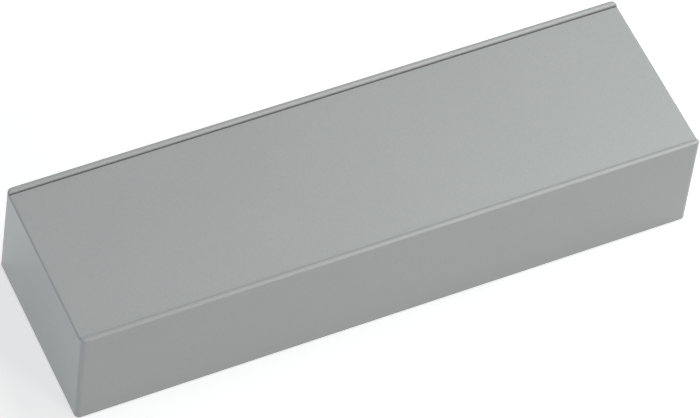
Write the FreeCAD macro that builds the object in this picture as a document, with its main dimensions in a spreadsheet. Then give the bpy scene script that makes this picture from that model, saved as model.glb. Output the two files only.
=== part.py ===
"""Surface-mounted door closer, drawn lying on its back.

The closing spring pushes a piston whose rack turns the pinion of the arm spindle, and a box
cover hides the cast housing.  X runs along the closer, Y towards the side where the spindle
leaves for its arm, and Z away from the door.  The origin is the middle of the mounting face.
"""
import FreeCAD, Part
import math
import os
import re
import Sketcher

SIZES = [
    ("barrel_length", 168.0, "length of the cast barrel between its end faces"),
    ("bore_radius", 15.0, "main bore, in which the piston slides"),
    ("piston_clearance", 0.05, "radial running clearance of the piston"),
    ("barrel_wall", 3.0, "wall of the barrel round the bore"),
    ("base_wall", 3.6, "metal between the bore and the mounting face"),
    ("gear_module", 1.5, "module of pinion and rack"),
    ("pinion_teeth", 12.0, "teeth of the pinion"),
    ("profile_shift", 0.3, "profile shift of the pinion, in modules"),
    ("backlash", 0.12, "play between the flanks, along the rack"),
    ("opening_angle", 180.0, "largest turn of the spindle, in degrees"),
    ("pinion_face", 20.0, "width of the pinion"),
    ("shoulder_relief", 0.175, "shoulders of the spindle below the roots of its teeth"),
    ("rack_side_gap", 0.339, "ends of the rack teeth to the shoulders' outer faces"),
    ("journal_radius", 6.0, "spindle in its bearings and its seal"),
    ("washer_thickness", 1.0, "thrust washer"),
    ("washer_gap", 1.4, "thrust washer to the wall of the cross bore"),
    ("washer_play", 0.1, "end play of the spindle at each washer"),
    ("fit_gap", 0.05, "radial gap of screwed and pressed fits"),
    ("cap_length", 13.5, "bearing cap along the spindle"),
    ("pinion_clearance", 1.05, "pinion to the cross bore, through which it is put in"),
    ("cap_wall", 3.0, "wall of the bearing caps round the bearings"),
    ("cap_floor", 2.0, "floor of the blind cap under its socket"),
    ("cap_slot_width", 3.0, "cross slot of the arm side cap"),
    ("cap_slot_depth", 1.4, "depth of that slot"),
    ("boss_wall", 3.2, "wall of the spindle boss round the caps"),
    ("needle_radius", 1.1, "pocket of a bearing needle"),
    ("bearing_length", 8.0, "needle bearing along the spindle"),
    ("cup_wall", 0.8, "drawn cup of the needle bearing"),
    ("roller_count", 12.0, "needles in each bearing"),
    ("bearing_setback", 0.1, "bearing below the inner face of its cap"),
    ("seal_section", 3.5, "spindle seal, from the journal to its outside"),
    ("seal_wall", 0.9, "case and dust lip of the spindle seal"),
    ("seal_edge", 0.3, "sealing edge of the spindle seal"),
    ("seal_length", 4.0, "spindle seal along the spindle"),
    ("lower_end_gap", 0.4, "space past the lower end of the spindle"),
    ("neck_length", 3.4, "round spindle above the cap, up to the arm square"),
    ("square_length", 6.5, "tapered square that carries the arm"),
    ("square_width", 9.6, "arm square across its flats, at its foot"),
    ("square_taper", 0.3, "how much narrower each flat pair is at the tip"),
    ("arm_screw_radius", 2.5, "tapped hole for the arm screw"),
    ("arm_screw_depth", 11.0, "depth of that hole"),
    ("head_length", 12.0, "closed piston head on the spring side"),
    ("damping_head_length", 11.3257, "piston head on the damping side"),
    ("transfer_radius", 2.0, "oil way through the head on the spring side"),
    ("window_end_gap", 0.4, "bearing caps to the ends of the piston window"),
    ("end_gap", 1.0, "piston to the damping plug when the door is shut"),
    ("piston_relief", 0.35, "shallow turned relief round the piston window"),
    ("plug_length", 11.0, "screwed end plug"),
    ("plug_socket_width", 12.0, "hexagon socket of the end plug, across flats"),
    ("plug_socket_depth", 5.0, "depth of that socket"),
    ("pin_hole_radius", 1.6, "face wrench holes of the spring side plug"),
    ("seal_width", 1.9, "packed width of the sealing rings"),
    ("seal_depth", 1.4, "groove depth of the sealing rings"),
    ("seal_setback", 2.0, "sealing rings of plugs and caps from their inner ends"),
    ("edge_break", 0.5, "bevel on turned edges"),
    ("run_out", 1.0, "how far a cut runs past the face it opens"),
    ("check_offset", 6.5, "check valve above the piston axis"),
    ("check_port_radius", 1.5, "port under the check valve ball"),
    ("check_ball_radius", 2.5, "check valve ball"),
    ("check_lift", 0.8, "travel of the ball off its seat"),
    ("check_play", 0.35, "radial room round the ball"),
    ("retainer_radius", 4.0, "pressed ring that keeps the ball in"),
    ("retainer_length", 2.5, "length of that ring"),
    ("spring_gap", 1.3, "closing spring to the bore"),
    ("spring_wire", 4.2, "wire of the closing spring"),
    ("spring_turns", 6.5, "turns of the closing spring"),
    ("spigot_gap", 0.3, "spring to the spigots that centre it"),
    ("spigot_length", 4.0, "length of these spigots"),
    ("seat_thickness", 3.0, "flange of the sliding spring seat"),
    ("seat_gap", 0.3, "spring seat to the retaining ring and to the bore"),
    ("adjust_travel", 5.0, "travel of the spring seat"),
    ("adjuster_radius", 4.0, "thread of the power adjusting screw"),
    ("adjuster_head_radius", 6.0, "head of the power adjusting screw"),
    ("adjuster_head_length", 4.0, "length of that head"),
    ("adjuster_socket_width", 5.0, "its hexagon socket, across flats"),
    ("adjuster_floor", 0.8, "metal under that socket"),
    ("adjuster_setback", 0.2, "head of the adjusting screw below the face of the plug"),
    ("adjuster_reach", 1.0, "screw past the seat at the end of its travel"),
    ("ring_thickness", 1.0, "retaining ring on the adjusting screw"),
    ("ring_height", 2.4, "retaining ring, radial"),
    ("valve_block_height", 20.0, "valve block, up from its foot"),
    ("valve_setback", 0.6, "valve block inside the spindle boss faces"),
    ("valve_radius", 3.5, "thread of the valve screws"),
    ("valve_spacing", 15.0, "distance between the two valve screws"),
    ("valve_inset", 10.0, "latching valve from the end of the barrel"),
    ("port_spacing", 10.0, "return port from the closing valve"),
    ("port_inset", 5.0, "return port from the end of the valve block"),
    ("valve_end_room", 1.4, "valve bore past the thread of the valve screw"),
    ("valve_seal_setback", 0.7, "sealing ring of a valve screw from the end of its thread"),
    ("valve_thread_length", 5.0, "threaded length of a valve screw"),
    ("valve_socket_width", 3.0, "hexagon socket of a valve screw, across flats"),
    ("needle_length", 4.0, "metering needle of a valve screw"),
    ("port_radius", 1.5, "oil ports and the oil channel"),
    ("needle_gap", 0.25, "needle to its port"),
    ("channel_depth", 5.6, "oil channel outside the main bore"),
    ("channel_plug_radius", 2.0, "pins pressed into the drilled ends of the oil ways"),
    ("channel_plug_length", 4.0, "length of these pins"),
    ("channel_plug_setback", 0.3, "these pins below the face they are pressed into"),
    ("ear_length", 16.0, "fixing ear past the barrel"),
    ("ear_thickness", 6.0, "thickness of the fixing ears"),
    ("ear_hole_inset", 10.0, "fixing holes from the barrel end"),
    ("ear_corner_radius", 4.0, "outer corners of the ears"),
    ("cast_edge_radius", 1.2, "outer edges of the casting"),
    ("fixing_spacing", 19.0, "fixing holes apart, across the closer"),
    ("fixing_hole_radius", 2.75, "fixing holes"),
    ("clip_thickness", 0.8, "spring strip of the cover clips"),
    ("clip_width", 8.0, "width of the cover clips"),
    ("clip_height", 18.0, "how far a cover clip stands up"),
    ("clip_gap", 0.3, "cover clip to the end wall of the cover"),
    ("clip_inset", 1.0, "foot of the clip from the barrel end"),
    ("clip_screw_inset", 6.0, "clip screw from the barrel end"),
    ("clip_screw_radius", 2.0, "thread of the clip screws"),
    ("clip_head_radius", 3.2, "head of the clip screws"),
    ("clip_head_height", 2.0, "height of that head"),
    ("clip_slot_width", 0.8, "driver slot of the clip screws"),
    ("clip_screw_setback", 0.6, "end of a clip screw above the mounting face"),
    ("cover_wall", 1.8, "side and end walls of the cover"),
    ("cover_top_wall", 1.6, "front panel of the cover"),
    ("cover_end_gap", 1.2, "ear to the end wall of the cover"),
    ("cover_side_gap", 0.6, "boss face to the side wall of the cover"),
    ("cover_top_gap", 0.3, "barrel to the front panel of the cover"),
    ("cover_foot_gap", 0.3, "cover rim to the mounting face"),
    ("cover_draft", 1.2, "slope of the cover's walls, wider towards the door, in degrees"),
    ("cover_corner_radius", 1.6, "upright corners of the cover"),
    ("cover_edge_radius", 0.9, "outer edges of the two ribs"),
    ("cover_end_radius", 0.6, "front edges at the two ends"),
    ("lip_width", 1.7, "rib along each long edge of the front panel"),
    ("lip_height", 1.0, "height of these ribs above the panel"),
    ("lip_bevel", 0.3, "bevel on the inner edges of these ribs"),
    ("notch_gap", 2.5, "spindle to the notch in the cover"),
]

LAYOUT = [
    ("axis_height", "bore_radius + base_wall"),
    ("barrel_radius", "bore_radius + barrel_wall"),
    ("barrel_end", "barrel_length / 2"),
    ("piston_radius", "bore_radius - piston_clearance"),
    ("pitch_radius", "gear_module * pinion_teeth / 2"),
    ("tip_radius", "pitch_radius + gear_module * (1 + profile_shift)"),
    ("root_radius", "pitch_radius - gear_module * (1.25 - profile_shift)"),
    ("shoulder_radius", "root_radius - shoulder_relief"),
    ("bearing_radius", "journal_radius + 2 * needle_radius + cup_wall"),
    ("cap_radius", "max(tip_radius + pinion_clearance; bearing_radius + cap_wall)"),
    ("washer_radius", "cap_radius - washer_gap"),
    ("seal_radius", "journal_radius + seal_section"),
    ("rack_line", "pitch_radius + gear_module * profile_shift"),
    ("rack_tip", "rack_line - gear_module"),
    ("rack_root", "rack_line + 1.25 * gear_module"),
    ("rack_pitch", "pi * gear_module"),
    ("shoulder_end", "sqrt(piston_radius ^ 2 - rack_tip ^ 2) + rack_side_gap"),
    ("spring_radius", "bore_radius - spring_gap - spring_wire / 2"),
    ("piston_travel", "pitch_radius * opening_angle * pi / 180"),
    ("window_reach", "cap_radius + window_end_gap"),
    ("piston_right", "barrel_end - plug_length - end_gap"),
    ("window_right", "piston_right - damping_head_length"),
    ("spindle_offset", "window_right - piston_travel - window_reach"),
    ("teeth_before", "floor(window_reach / rack_pitch - 0.45)"),
    ("teeth_after", "floor((piston_travel + window_reach) / rack_pitch - 0.45)"),
    ("window_left", "spindle_offset - window_reach"),
    ("piston_left", "window_left - head_length"),
    ("cap_inner", "shoulder_end + washer_play + washer_thickness"),
    ("boss_reach", "cap_inner + cap_length"),
    ("pocket_end", "cap_inner + bearing_setback + bearing_length"),
    ("boss_radius", "cap_radius + boss_wall"),
    ("lower_journal_end", "pocket_end + lower_end_gap"),
    ("plug_radius", "bore_radius - fit_gap"),
    ("plug_inner", "barrel_end - plug_length"),
    ("head_seat", "plug_length - adjuster_head_length - adjuster_setback"),
    ("seat_left", "-plug_inner + 2 * washer_play + ring_thickness + seat_gap"),
    ("seat_right", "seat_left + seat_thickness"),
    ("spring_length", "piston_left - seat_right"),
    ("spigot_radius", "spring_radius - spring_wire / 2 - spigot_gap"),
    ("adjuster_end", "seat_right + adjust_travel + adjuster_reach"),
    ("ball_rise", "sqrt(check_ball_radius ^ 2 - check_port_radius ^ 2) + fit_gap / 2"),
    ("ball_seat", "piston_right - retainer_length - check_lift - fit_gap"
                  " - check_ball_radius - ball_rise"),
    ("valve_face", "boss_reach - valve_setback"),
    ("latching_spot", "barrel_end - valve_inset"),
    ("closing_spot", "latching_spot - valve_spacing"),
    ("return_spot", "closing_spot - port_spacing"),
    ("valve_block_length", "barrel_end - return_spot + port_inset"),
    ("channel_line", "bore_radius + channel_depth"),
    ("ear_end", "barrel_end + ear_length"),
    ("fixing_line", "barrel_end + ear_hole_inset"),
    ("cover_inner_length", "ear_end + cover_end_gap"),
    ("cover_inner_width", "boss_reach + cover_side_gap"),
    ("cover_inner_top", "axis_height + barrel_radius + cover_top_gap"),
    ("cover_half_length", "cover_inner_length + cover_wall"),
    ("cover_half_width", "cover_inner_width + cover_wall"),
    ("panel_height", "cover_inner_top + cover_top_wall"),
    ("cover_height", "panel_height + lip_height"),
    ("clip_middle", "ear_thickness + clip_height / 2"),
    ("clip_bow", "cover_inner_length + (cover_inner_top - clip_middle) * tan(cover_draft)"
                 " - clip_gap"),
    ("notch_radius", "journal_radius + notch_gap"),
]

PRESSURE_ANGLE = 20.0
FLANK_POINTS = 7

doc = FreeCAD.newDocument("door_closer")
sheet = doc.addObject("Spreadsheet::Sheet", "Sizes")
for row, (size_name, size, note) in enumerate(SIZES, start=1):
    sheet.set("A%d" % row, size_name)
    sheet.set("B%d" % row, str(size))
    sheet.set("C%d" % row, note)
    sheet.setAlias("B%d" % row, size_name)
doc.recompute()

CELL_NAMES = {entry[0] for entry in SIZES}
LAYOUT_NAMES = {entry[0] for entry in LAYOUT}


def formula(text):
    """Give a formula's plain names their place: a cell of the sheet, or a value of the layout."""
    def placed(match):
        word = match.group(0)
        if word in CELL_NAMES:
            return "Sizes." + word
        if word in LAYOUT_NAMES:
            return "Layout." + word
        return word
    return re.sub(r"[a-z][a-z_]*", placed, text)


layout = doc.addObject("App::VarSet", "Layout")
for derived_name, derived in LAYOUT:
    layout.addProperty("App::PropertyFloat", derived_name, "Layout")
    layout.setExpression(derived_name, formula(derived))
doc.recompute()

parts = []


def number(text):
    """Value of a formula, for what is counted or drawn in code."""
    return float(layout.evalExpression(formula(text)))


def bind(thing, prop, text):
    thing.setExpression(prop, formula(text))


def place(thing, across="0", side="0", up="0"):
    """Bind the position of a sub-part."""
    for axis, text in (("x", across), ("y", side), ("z", up)):
        if text != "0":
            bind(thing, "Placement.Base." + axis, text)


def keep(thing, label):
    """Name a finished sub-part, which is written under this label."""
    thing.Label = label
    parts.append(thing)
    return thing


def new_body(name):
    return doc.addObject("PartDesign::Body", name)


def origin_item(body, role):
    return next(item for item in body.Origin.OriginFeatures if item.Role == role)


def new_sketch(body, plane, lift="0"):
    """Empty sketch on an origin plane, raised along that plane's normal."""
    sketch = body.newObject("Sketcher::SketchObject", body.Name + "_sketch")
    sketch.AttachmentSupport = [(origin_item(body, plane), "")]
    sketch.MapMode = "FlatFace"
    if lift != "0":
        bind(sketch, "AttachmentOffset.Base.z", lift)
    return sketch


def pin_point(sketch, index, end, place_x, place_y):
    """Hold one point of the sketch at a formula's distance from both axes."""
    for kind, text, axis in (("DistanceX", place_x, -2), ("DistanceY", place_y, -1)):
        if text == "0":
            sketch.addConstraint(Sketcher.Constraint("PointOnObject", index, end, axis))
        else:
            rule = Sketcher.Constraint(kind, -1, 1, index, end, number(text))
            held = sketch.addConstraint(rule)
            bind(sketch, "Constraints[%d]" % held, text)


def draw_outline(sketch, points):
    """Closed outline of straight edges through points that are pairs of formulas."""
    first = sketch.GeometryCount
    spots = [FreeCAD.Vector(number(x), number(y), 0) for x, y in points]
    count = len(points)
    for index in range(count):
        edge = Part.LineSegment(spots[index], spots[(index + 1) % count])
        sketch.addGeometry(edge, False)
    for index in range(count):
        following = first + (index + 1) % count
        sketch.addConstraint(Sketcher.Constraint("Coincident", first + index, 2, following, 1))
    for index, (x, y) in enumerate(points):
        pin_point(sketch, first + index, 1, x, y)
    return sketch


def draw_box(sketch, left, right, low, high):
    return draw_outline(sketch, [(left, low), (right, low), (right, high), (left, high)])


def draw_circle(sketch, x, y, radius):
    centre = FreeCAD.Vector(number(x), number(y), 0)
    circle = Part.Circle(centre, FreeCAD.Vector(0, 0, 1), number(radius))
    index = sketch.addGeometry(circle, False)
    held = sketch.addConstraint(Sketcher.Constraint("Radius", index, number(radius)))
    bind(sketch, "Constraints[%d]" % held, radius)
    pin_point(sketch, index, 3, x, y)
    return sketch


def draw_hexagon(sketch, width):
    """Hexagon across flats, centred on the axis, for a socket."""
    points = []
    for corner in range(6):
        turn = 60 * corner
        reach = "%s / sqrt(3) * %s(%d)"
        x = reach % (width, "cos", turn)
        y = "0" if turn % 180 == 0 else reach % (width, "sin", turn)
        points.append((x, y))
    return draw_outline(sketch, points)


def pad(body, sketch, length, reverse=False, both_ways=False):
    feature = body.newObject("PartDesign::Pad", body.Name + "_pad")
    feature.Profile = sketch
    bind(feature, "Length", length)
    feature.Reversed = reverse
    if both_ways:
        feature.SideType = "Symmetric"
    doc.recompute()
    return feature


def cut(body, sketch, length, reverse=False, both_ways=False):
    """Pocket that must take something away."""
    before = body.Shape.Volume
    feature = body.newObject("PartDesign::Pocket", body.Name + "_cut")
    feature.Profile = sketch
    bind(feature, "Length", length)
    feature.Reversed = reverse
    if both_ways:
        feature.SideType = "Symmetric"
    doc.recompute()
    if body.Shape.Volume > before - 1e-6:
        raise RuntimeError("a pocket of %s cuts nothing" % body.Name)
    return feature


def spin(body, axis, points):
    """Turned shape: points are pairs of a place along the axis and a radius."""
    if axis == "X":
        sketch = draw_outline(new_sketch(body, "XZ_Plane"), points)
        reference = "H_Axis"
    else:
        sketch = draw_outline(new_sketch(body, "XY_Plane"), [(r, a) for a, r in points])
        reference = "V_Axis"
    feature = body.newObject("PartDesign::Revolution", body.Name + "_turned")
    feature.Profile = sketch
    feature.ReferenceAxis = (sketch, [reference])
    feature.Angle = 360
    doc.recompute()
    return feature


def soften(body, radius, wanted, kind="PartDesign::Fillet"):
    """Round or bevel the edges that the test picks by their middle and their box."""
    shape = body.Tip.Shape
    names = []
    for index, edge in enumerate(shape.Edges, start=1):
        if wanted(edge):
            names.append("Edge%d" % index)
    base = body.Tip
    feature = body.newObject(kind, body.Name + "_soft")
    feature.Base = (base, names)
    bind(feature, "Radius" if kind.endswith("Fillet") else "Size", radius)
    doc.recompute()
    return feature


def lean_walls(body, angle, wanted, height, inward=False):
    """Draft on the flat walls that the test picks, which keep their place at a height."""
    faces = []
    level = None
    for index, face in enumerate(body.Tip.Shape.Faces, start=1):
        if wanted(face):
            faces.append("Face%d" % index)
        if face.BoundBox.ZLength < 0.001 and close_to(face.BoundBox.ZMax, height):
            level = "Face%d" % index
    base = body.Tip
    feature = body.newObject("PartDesign::Draft", body.Name + "_draft")
    feature.Base = (base, faces)
    feature.NeutralPlane = (base, [level])
    bind(feature, "Angle", angle)
    feature.Reversed = inward
    doc.recompute()
    return feature


def close_to(a, b):
    return abs(a - b) < 0.01


def is_straight(edge, axis):
    """True for a straight edge that runs along the named axis."""
    box = edge.BoundBox
    spans = {"X": box.XLength, "Y": box.YLength, "Z": box.ZLength}
    others = [span for name, span in spans.items() if name != axis]
    return spans[axis] > 0.1 and max(others) < 0.01


def is_upright(thing):
    """True for an edge or flat face that stands, straight or leaning a little."""
    if thing.BoundBox.ZLength < 2.0:
        return False
    if isinstance(thing, Part.Face):
        return min(thing.BoundBox.XLength, thing.BoundBox.YLength) < 0.1 * thing.BoundBox.ZLength
    return max(thing.BoundBox.XLength, thing.BoundBox.YLength) < 0.1 * thing.BoundBox.ZLength


def ring_profile(left, right, inner, outer):
    """Four corners of a plain ring."""
    return [(left, inner), (right, inner), (right, outer), (left, outer)]


def turned_part(label, axis, points, across="0", side="0", up="axis_height"):
    """Plain turned sub-part."""
    body = new_body(label)
    spin(body, axis, points)
    place(body, across, side, up)
    return keep(body, label)


def packed_ring(left, inner, outer):
    """Section of a sealing ring, pressed square in its groove."""
    return ring_profile(left, "%s + seal_width" % left, inner, outer)


def make_cover():
    """Box cover, open towards the door, with a rib along each long edge of its front panel."""
    cover = new_body("cover")
    rim = draw_box(
        new_sketch(cover, "XY_Plane", "cover_foot_gap"),
        "-cover_half_length", "cover_half_length", "-cover_half_width", "cover_half_width")
    pad(cover, rim, "cover_height - cover_foot_gap")
    half_length = number("cover_half_length")
    top = number("cover_height")
    lean_walls(cover, "cover_draft", is_upright, top)
    soften(cover, "cover_corner_radius", is_upright)
    soften(cover, "cover_edge_radius", lambda edge: edge.BoundBox.ZMin > top - 0.01)
    panel = draw_outline(new_sketch(cover, "YZ_Plane"), [
        ("-cover_half_width + lip_width", "panel_height"),
        ("cover_half_width - lip_width", "panel_height"),
        ("cover_half_width - lip_width", "cover_height - lip_bevel"),
        ("cover_half_width - lip_width + lip_bevel", "cover_height"),
        ("cover_half_width - lip_width + lip_bevel", "cover_height + run_out"),
        ("-cover_half_width + lip_width - lip_bevel", "cover_height + run_out"),
        ("-cover_half_width + lip_width - lip_bevel", "cover_height"),
        ("-cover_half_width + lip_width", "cover_height - lip_bevel")])
    cut(cover, panel, "2 * (cover_half_length + run_out)", both_ways=True)
    panel_top = number("panel_height")
    soften(cover, "cover_end_radius", lambda edge: is_straight(edge, "Y")
           and abs(edge.CenterOfMass.x) > half_length - 0.01
           and close_to(edge.CenterOfMass.z, panel_top))
    inside = draw_box(
        new_sketch(cover, "XY_Plane"),
        "-cover_inner_length", "cover_inner_length", "-cover_inner_width", "cover_inner_width")
    cut(cover, inside, "cover_inner_top", reverse=True)
    inner_length = number("cover_inner_length")
    inner_width = number("cover_inner_width")
    lean_walls(cover, "cover_draft", lambda face: is_upright(face)
               and abs(face.CenterOfMass.x) < inner_length + 0.01
               and abs(face.CenterOfMass.y) < inner_width + 0.01,
               number("cover_inner_top"), inward=True)
    notch = draw_box(
        new_sketch(cover, "XZ_Plane", "-cover_inner_width + run_out"),
        "spindle_offset - notch_radius", "spindle_offset + notch_radius", "0", "axis_height")
    cut(cover, notch, "cover_wall + 2 * run_out")
    arch = draw_circle(
        new_sketch(cover, "XZ_Plane", "-cover_inner_width + run_out"),
        "spindle_offset", "axis_height", "notch_radius")
    cut(cover, arch, "cover_wall + 2 * run_out")
    return keep(cover, "cover")


def make_housing():
    """Cast housing: flat-backed barrel, spindle boss across it, valve block and fixing ears."""
    housing = new_body("housing")
    foot = draw_box(
        new_sketch(housing, "YZ_Plane"), "-barrel_radius", "barrel_radius", "0", "axis_height")
    pad(housing, foot, "barrel_length", both_ways=True)
    barrel = draw_circle(new_sketch(housing, "YZ_Plane"), "0", "axis_height", "barrel_radius")
    pad(housing, barrel, "barrel_length", both_ways=True)
    ears = draw_box(
        new_sketch(housing, "XY_Plane"), "-ear_end", "ear_end", "-barrel_radius", "barrel_radius")
    pad(housing, ears, "ear_thickness")
    ear_end = number("ear_end")
    soften(housing, "ear_corner_radius", lambda edge: is_straight(edge, "Z")
           and close_to(abs(edge.CenterOfMass.x), ear_end))
    ear_top = number("ear_thickness")
    soften(housing, "cast_edge_radius", lambda edge: is_straight(edge, "Y")
           and close_to(edge.CenterOfMass.z, ear_top)
           and close_to(abs(edge.CenterOfMass.x), ear_end))
    boss_foot = draw_box(
        new_sketch(housing, "XZ_Plane"),
        "spindle_offset - boss_radius", "spindle_offset + boss_radius", "0", "axis_height")
    pad(housing, boss_foot, "2 * boss_reach", both_ways=True)
    boss = draw_circle(
        new_sketch(housing, "XZ_Plane"), "spindle_offset", "axis_height", "boss_radius")
    pad(housing, boss, "2 * boss_reach", both_ways=True)
    block = draw_box(
        new_sketch(housing, "XZ_Plane"), "barrel_end - valve_block_length", "barrel_end",
        "axis_height - valve_block_height / 2", "axis_height + valve_block_height / 2")
    pad(housing, block, "valve_face")
    valve_face = number("valve_face")
    soften(housing, "cast_edge_radius", lambda edge: edge.BoundBox.YMax < 0.01 - valve_face
           and edge.BoundBox.XMax > number("return_spot"))
    bore = draw_circle(new_sketch(housing, "YZ_Plane"), "0", "axis_height", "bore_radius")
    cut(housing, bore, "barrel_length + run_out", both_ways=True)
    cross_bore = draw_circle(
        new_sketch(housing, "XZ_Plane"), "spindle_offset", "axis_height", "cap_radius")
    cut(housing, cross_bore, "2 * boss_reach + run_out", both_ways=True)
    drill_fixing_holes(housing)
    drill_oil_ways(housing)
    return keep(housing, "housing")


def drill_fixing_holes(housing):
    """Two fixing holes and one tapped clip hole through each ear."""
    holes = new_sketch(housing, "XY_Plane")
    for end in ("-", ""):
        for side in ("-", ""):
            draw_circle(
                holes, "%sfixing_line" % end, "%sfixing_spacing / 2" % side,
                "fixing_hole_radius")
        draw_circle(
            holes, "%s(barrel_end + clip_screw_inset)" % end, "0",
            "clip_screw_radius + fit_gap")
    cut(housing, holes, "ear_thickness + run_out", reverse=True)


def drill_oil_ways(housing):
    """Valve bores, their ports into the main bore, and the channel that joins them."""
    threads = new_sketch(housing, "XZ_Plane", "valve_face")
    ports = new_sketch(housing, "XZ_Plane", "valve_face")
    for spot in ("closing_spot", "latching_spot"):
        draw_circle(threads, spot, "axis_height", "valve_radius")
        draw_circle(ports, spot, "axis_height", "port_radius")
    draw_circle(ports, "return_spot", "axis_height", "port_radius")
    cut(housing, threads, "valve_thread_length + valve_end_room")
    cut(housing, ports, "valve_face - bore_radius + run_out")
    channel = draw_circle(
        new_sketch(housing, "YZ_Plane", "barrel_end"),
        "-channel_line", "axis_height", "port_radius")
    cut(housing, channel, "valve_block_length - port_inset + port_radius")
    for plane, lift, across in (
            ("YZ_Plane", "barrel_end", "-channel_line"),
            ("XZ_Plane", "valve_face", "return_spot")):
        pocket = draw_circle(
            new_sketch(housing, plane, lift), across, "axis_height", "channel_plug_radius")
        cut(housing, pocket, "channel_plug_length + channel_plug_setback")


def flip(points):
    """The same turned profile on the other side of its origin."""
    return [("-(%s)" % along, radius) for along, radius in points]


def grooved(left, radius):
    """Corners of a groove for a sealing ring in a turned face, from left to right."""
    floor = "%s - seal_depth" % radius
    right = "%s + seal_width" % left
    return [(left, radius), (left, floor), (right, floor), (right, radius)]


def make_group(label, members):
    """Identical separate pieces that share one node."""
    group = doc.addObject("Part::Compound", label)
    group.Links = members
    return keep(group, label)


def turned_member(name, axis, points, across="0", side="0", up="axis_height"):
    """Turned piece that is kept only as a member of a group."""
    body = new_body(name)
    spin(body, axis, points)
    place(body, across, side, up)
    return body


def make_damping_plug():
    """Plug of the damping chamber, with a hexagon socket in its outer face."""
    plug = new_body("damping_end_plug")
    groove = grooved("(plug_inner + seal_setback)", "plug_radius")
    spin(plug, "X", [
        ("plug_inner", "0"), ("plug_inner", "plug_radius - edge_break"),
        ("plug_inner + edge_break", "plug_radius"), *groove,
        ("barrel_end - edge_break", "plug_radius"), ("barrel_end", "plug_radius - edge_break"),
        ("barrel_end", "0")])
    socket = draw_hexagon(new_sketch(plug, "YZ_Plane", "barrel_end"), "plug_socket_width")
    cut(plug, socket, "plug_socket_depth")
    place(plug, up="axis_height")
    return keep(plug, "damping_end_plug")


def make_spring_plug():
    """Plug that takes the spring force, bored for the head and shank of the adjusting screw."""
    plug = new_body("spring_end_plug")
    shank = "adjuster_radius + fit_gap"
    step = "plug_inner + head_seat"
    groove = grooved("(plug_inner + seal_setback)", "plug_radius")
    spin(plug, "X", flip([
        ("plug_inner", shank), ("plug_inner", "plug_radius - edge_break"),
        ("plug_inner + edge_break", "plug_radius"), *groove,
        ("barrel_end - edge_break", "plug_radius"), ("barrel_end", "plug_radius - edge_break"),
        ("barrel_end", "adjuster_head_radius + seat_gap"),
        (step, "adjuster_head_radius + seat_gap"), (step, shank)]))
    pins = new_sketch(plug, "YZ_Plane", "-barrel_end")
    for side in ("-", ""):
        draw_circle(pins, "%s(plug_radius + adjuster_head_radius) / 2" % side, "0",
                    "pin_hole_radius")
    cut(plug, pins, "plug_length / 3", reverse=True)
    place(plug, up="axis_height")
    return keep(plug, "spring_end_plug")


def make_plug_seals():
    """The two rings packed between the end plugs and the bore."""
    section = packed_ring(
        "(plug_inner + seal_setback)", "(plug_radius - seal_depth)", "bore_radius")
    return make_group("end_plug_seals", [
        turned_member("damping_plug_seal", "X", section),
        turned_member("spring_plug_seal", "X", flip(section))])


def make_upper_cap():
    """Bearing cap on the arm side: needle bearing inside, spindle seal outside."""
    cap = new_body("upper_bearing_cap")
    outer = "(cap_radius - fit_gap)"
    neck = "journal_radius + seat_gap"
    spin(cap, "Y", [
        ("cap_inner", "bearing_radius"), ("cap_inner", outer + " - edge_break"),
        ("cap_inner + edge_break", outer), *grooved("(cap_inner + seal_setback)", outer),
        ("boss_reach", outer), ("boss_reach", "seal_radius"),
        ("boss_reach - seal_length", "seal_radius"), ("boss_reach - seal_length", neck),
        ("pocket_end", neck), ("pocket_end", "bearing_radius")])
    half_slot = "cap_slot_width / 2"
    for along, across in (("cap_radius", half_slot), (half_slot, "cap_radius")):
        bar = draw_box(
            new_sketch(cap, "XZ_Plane", "-boss_reach"), "-" + along, along, "-" + across, across)
        cut(cap, bar, "cap_slot_depth", reverse=True)
    place(cap, "spindle_offset", "0", "axis_height")
    return keep(cap, "upper_bearing_cap")


def make_lower_cap():
    """Blind bearing cap on the other side, with a hexagon socket."""
    cap = new_body("lower_bearing_cap")
    outer = "(cap_radius - fit_gap)"
    spin(cap, "Y", flip([
        ("cap_inner", "bearing_radius"), ("cap_inner", outer + " - edge_break"),
        ("cap_inner + edge_break", outer), *grooved("(cap_inner + seal_setback)", outer),
        ("boss_reach", outer), ("boss_reach", "0"),
        ("pocket_end + 2 * lower_end_gap", "0"),
        ("pocket_end + 2 * lower_end_gap", "journal_radius + lower_end_gap"),
        ("pocket_end", "journal_radius + lower_end_gap"), ("pocket_end", "bearing_radius")]))
    socket = draw_hexagon(new_sketch(cap, "XZ_Plane", "boss_reach"), "plug_socket_width")
    cut(cap, socket, "boss_reach - pocket_end - 2 * lower_end_gap - cap_floor")
    place(cap, "spindle_offset", "0", "axis_height")
    return keep(cap, "lower_bearing_cap")


def make_cap_seals():
    section = packed_ring(
        "(cap_inner + seal_setback)", "(cap_radius - fit_gap - seal_depth)", "cap_radius")
    return make_group("bearing_cap_seals", [
        turned_member("upper_cap_seal", "Y", section, "spindle_offset"),
        turned_member("lower_cap_seal", "Y", flip(section), "spindle_offset")])


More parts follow.
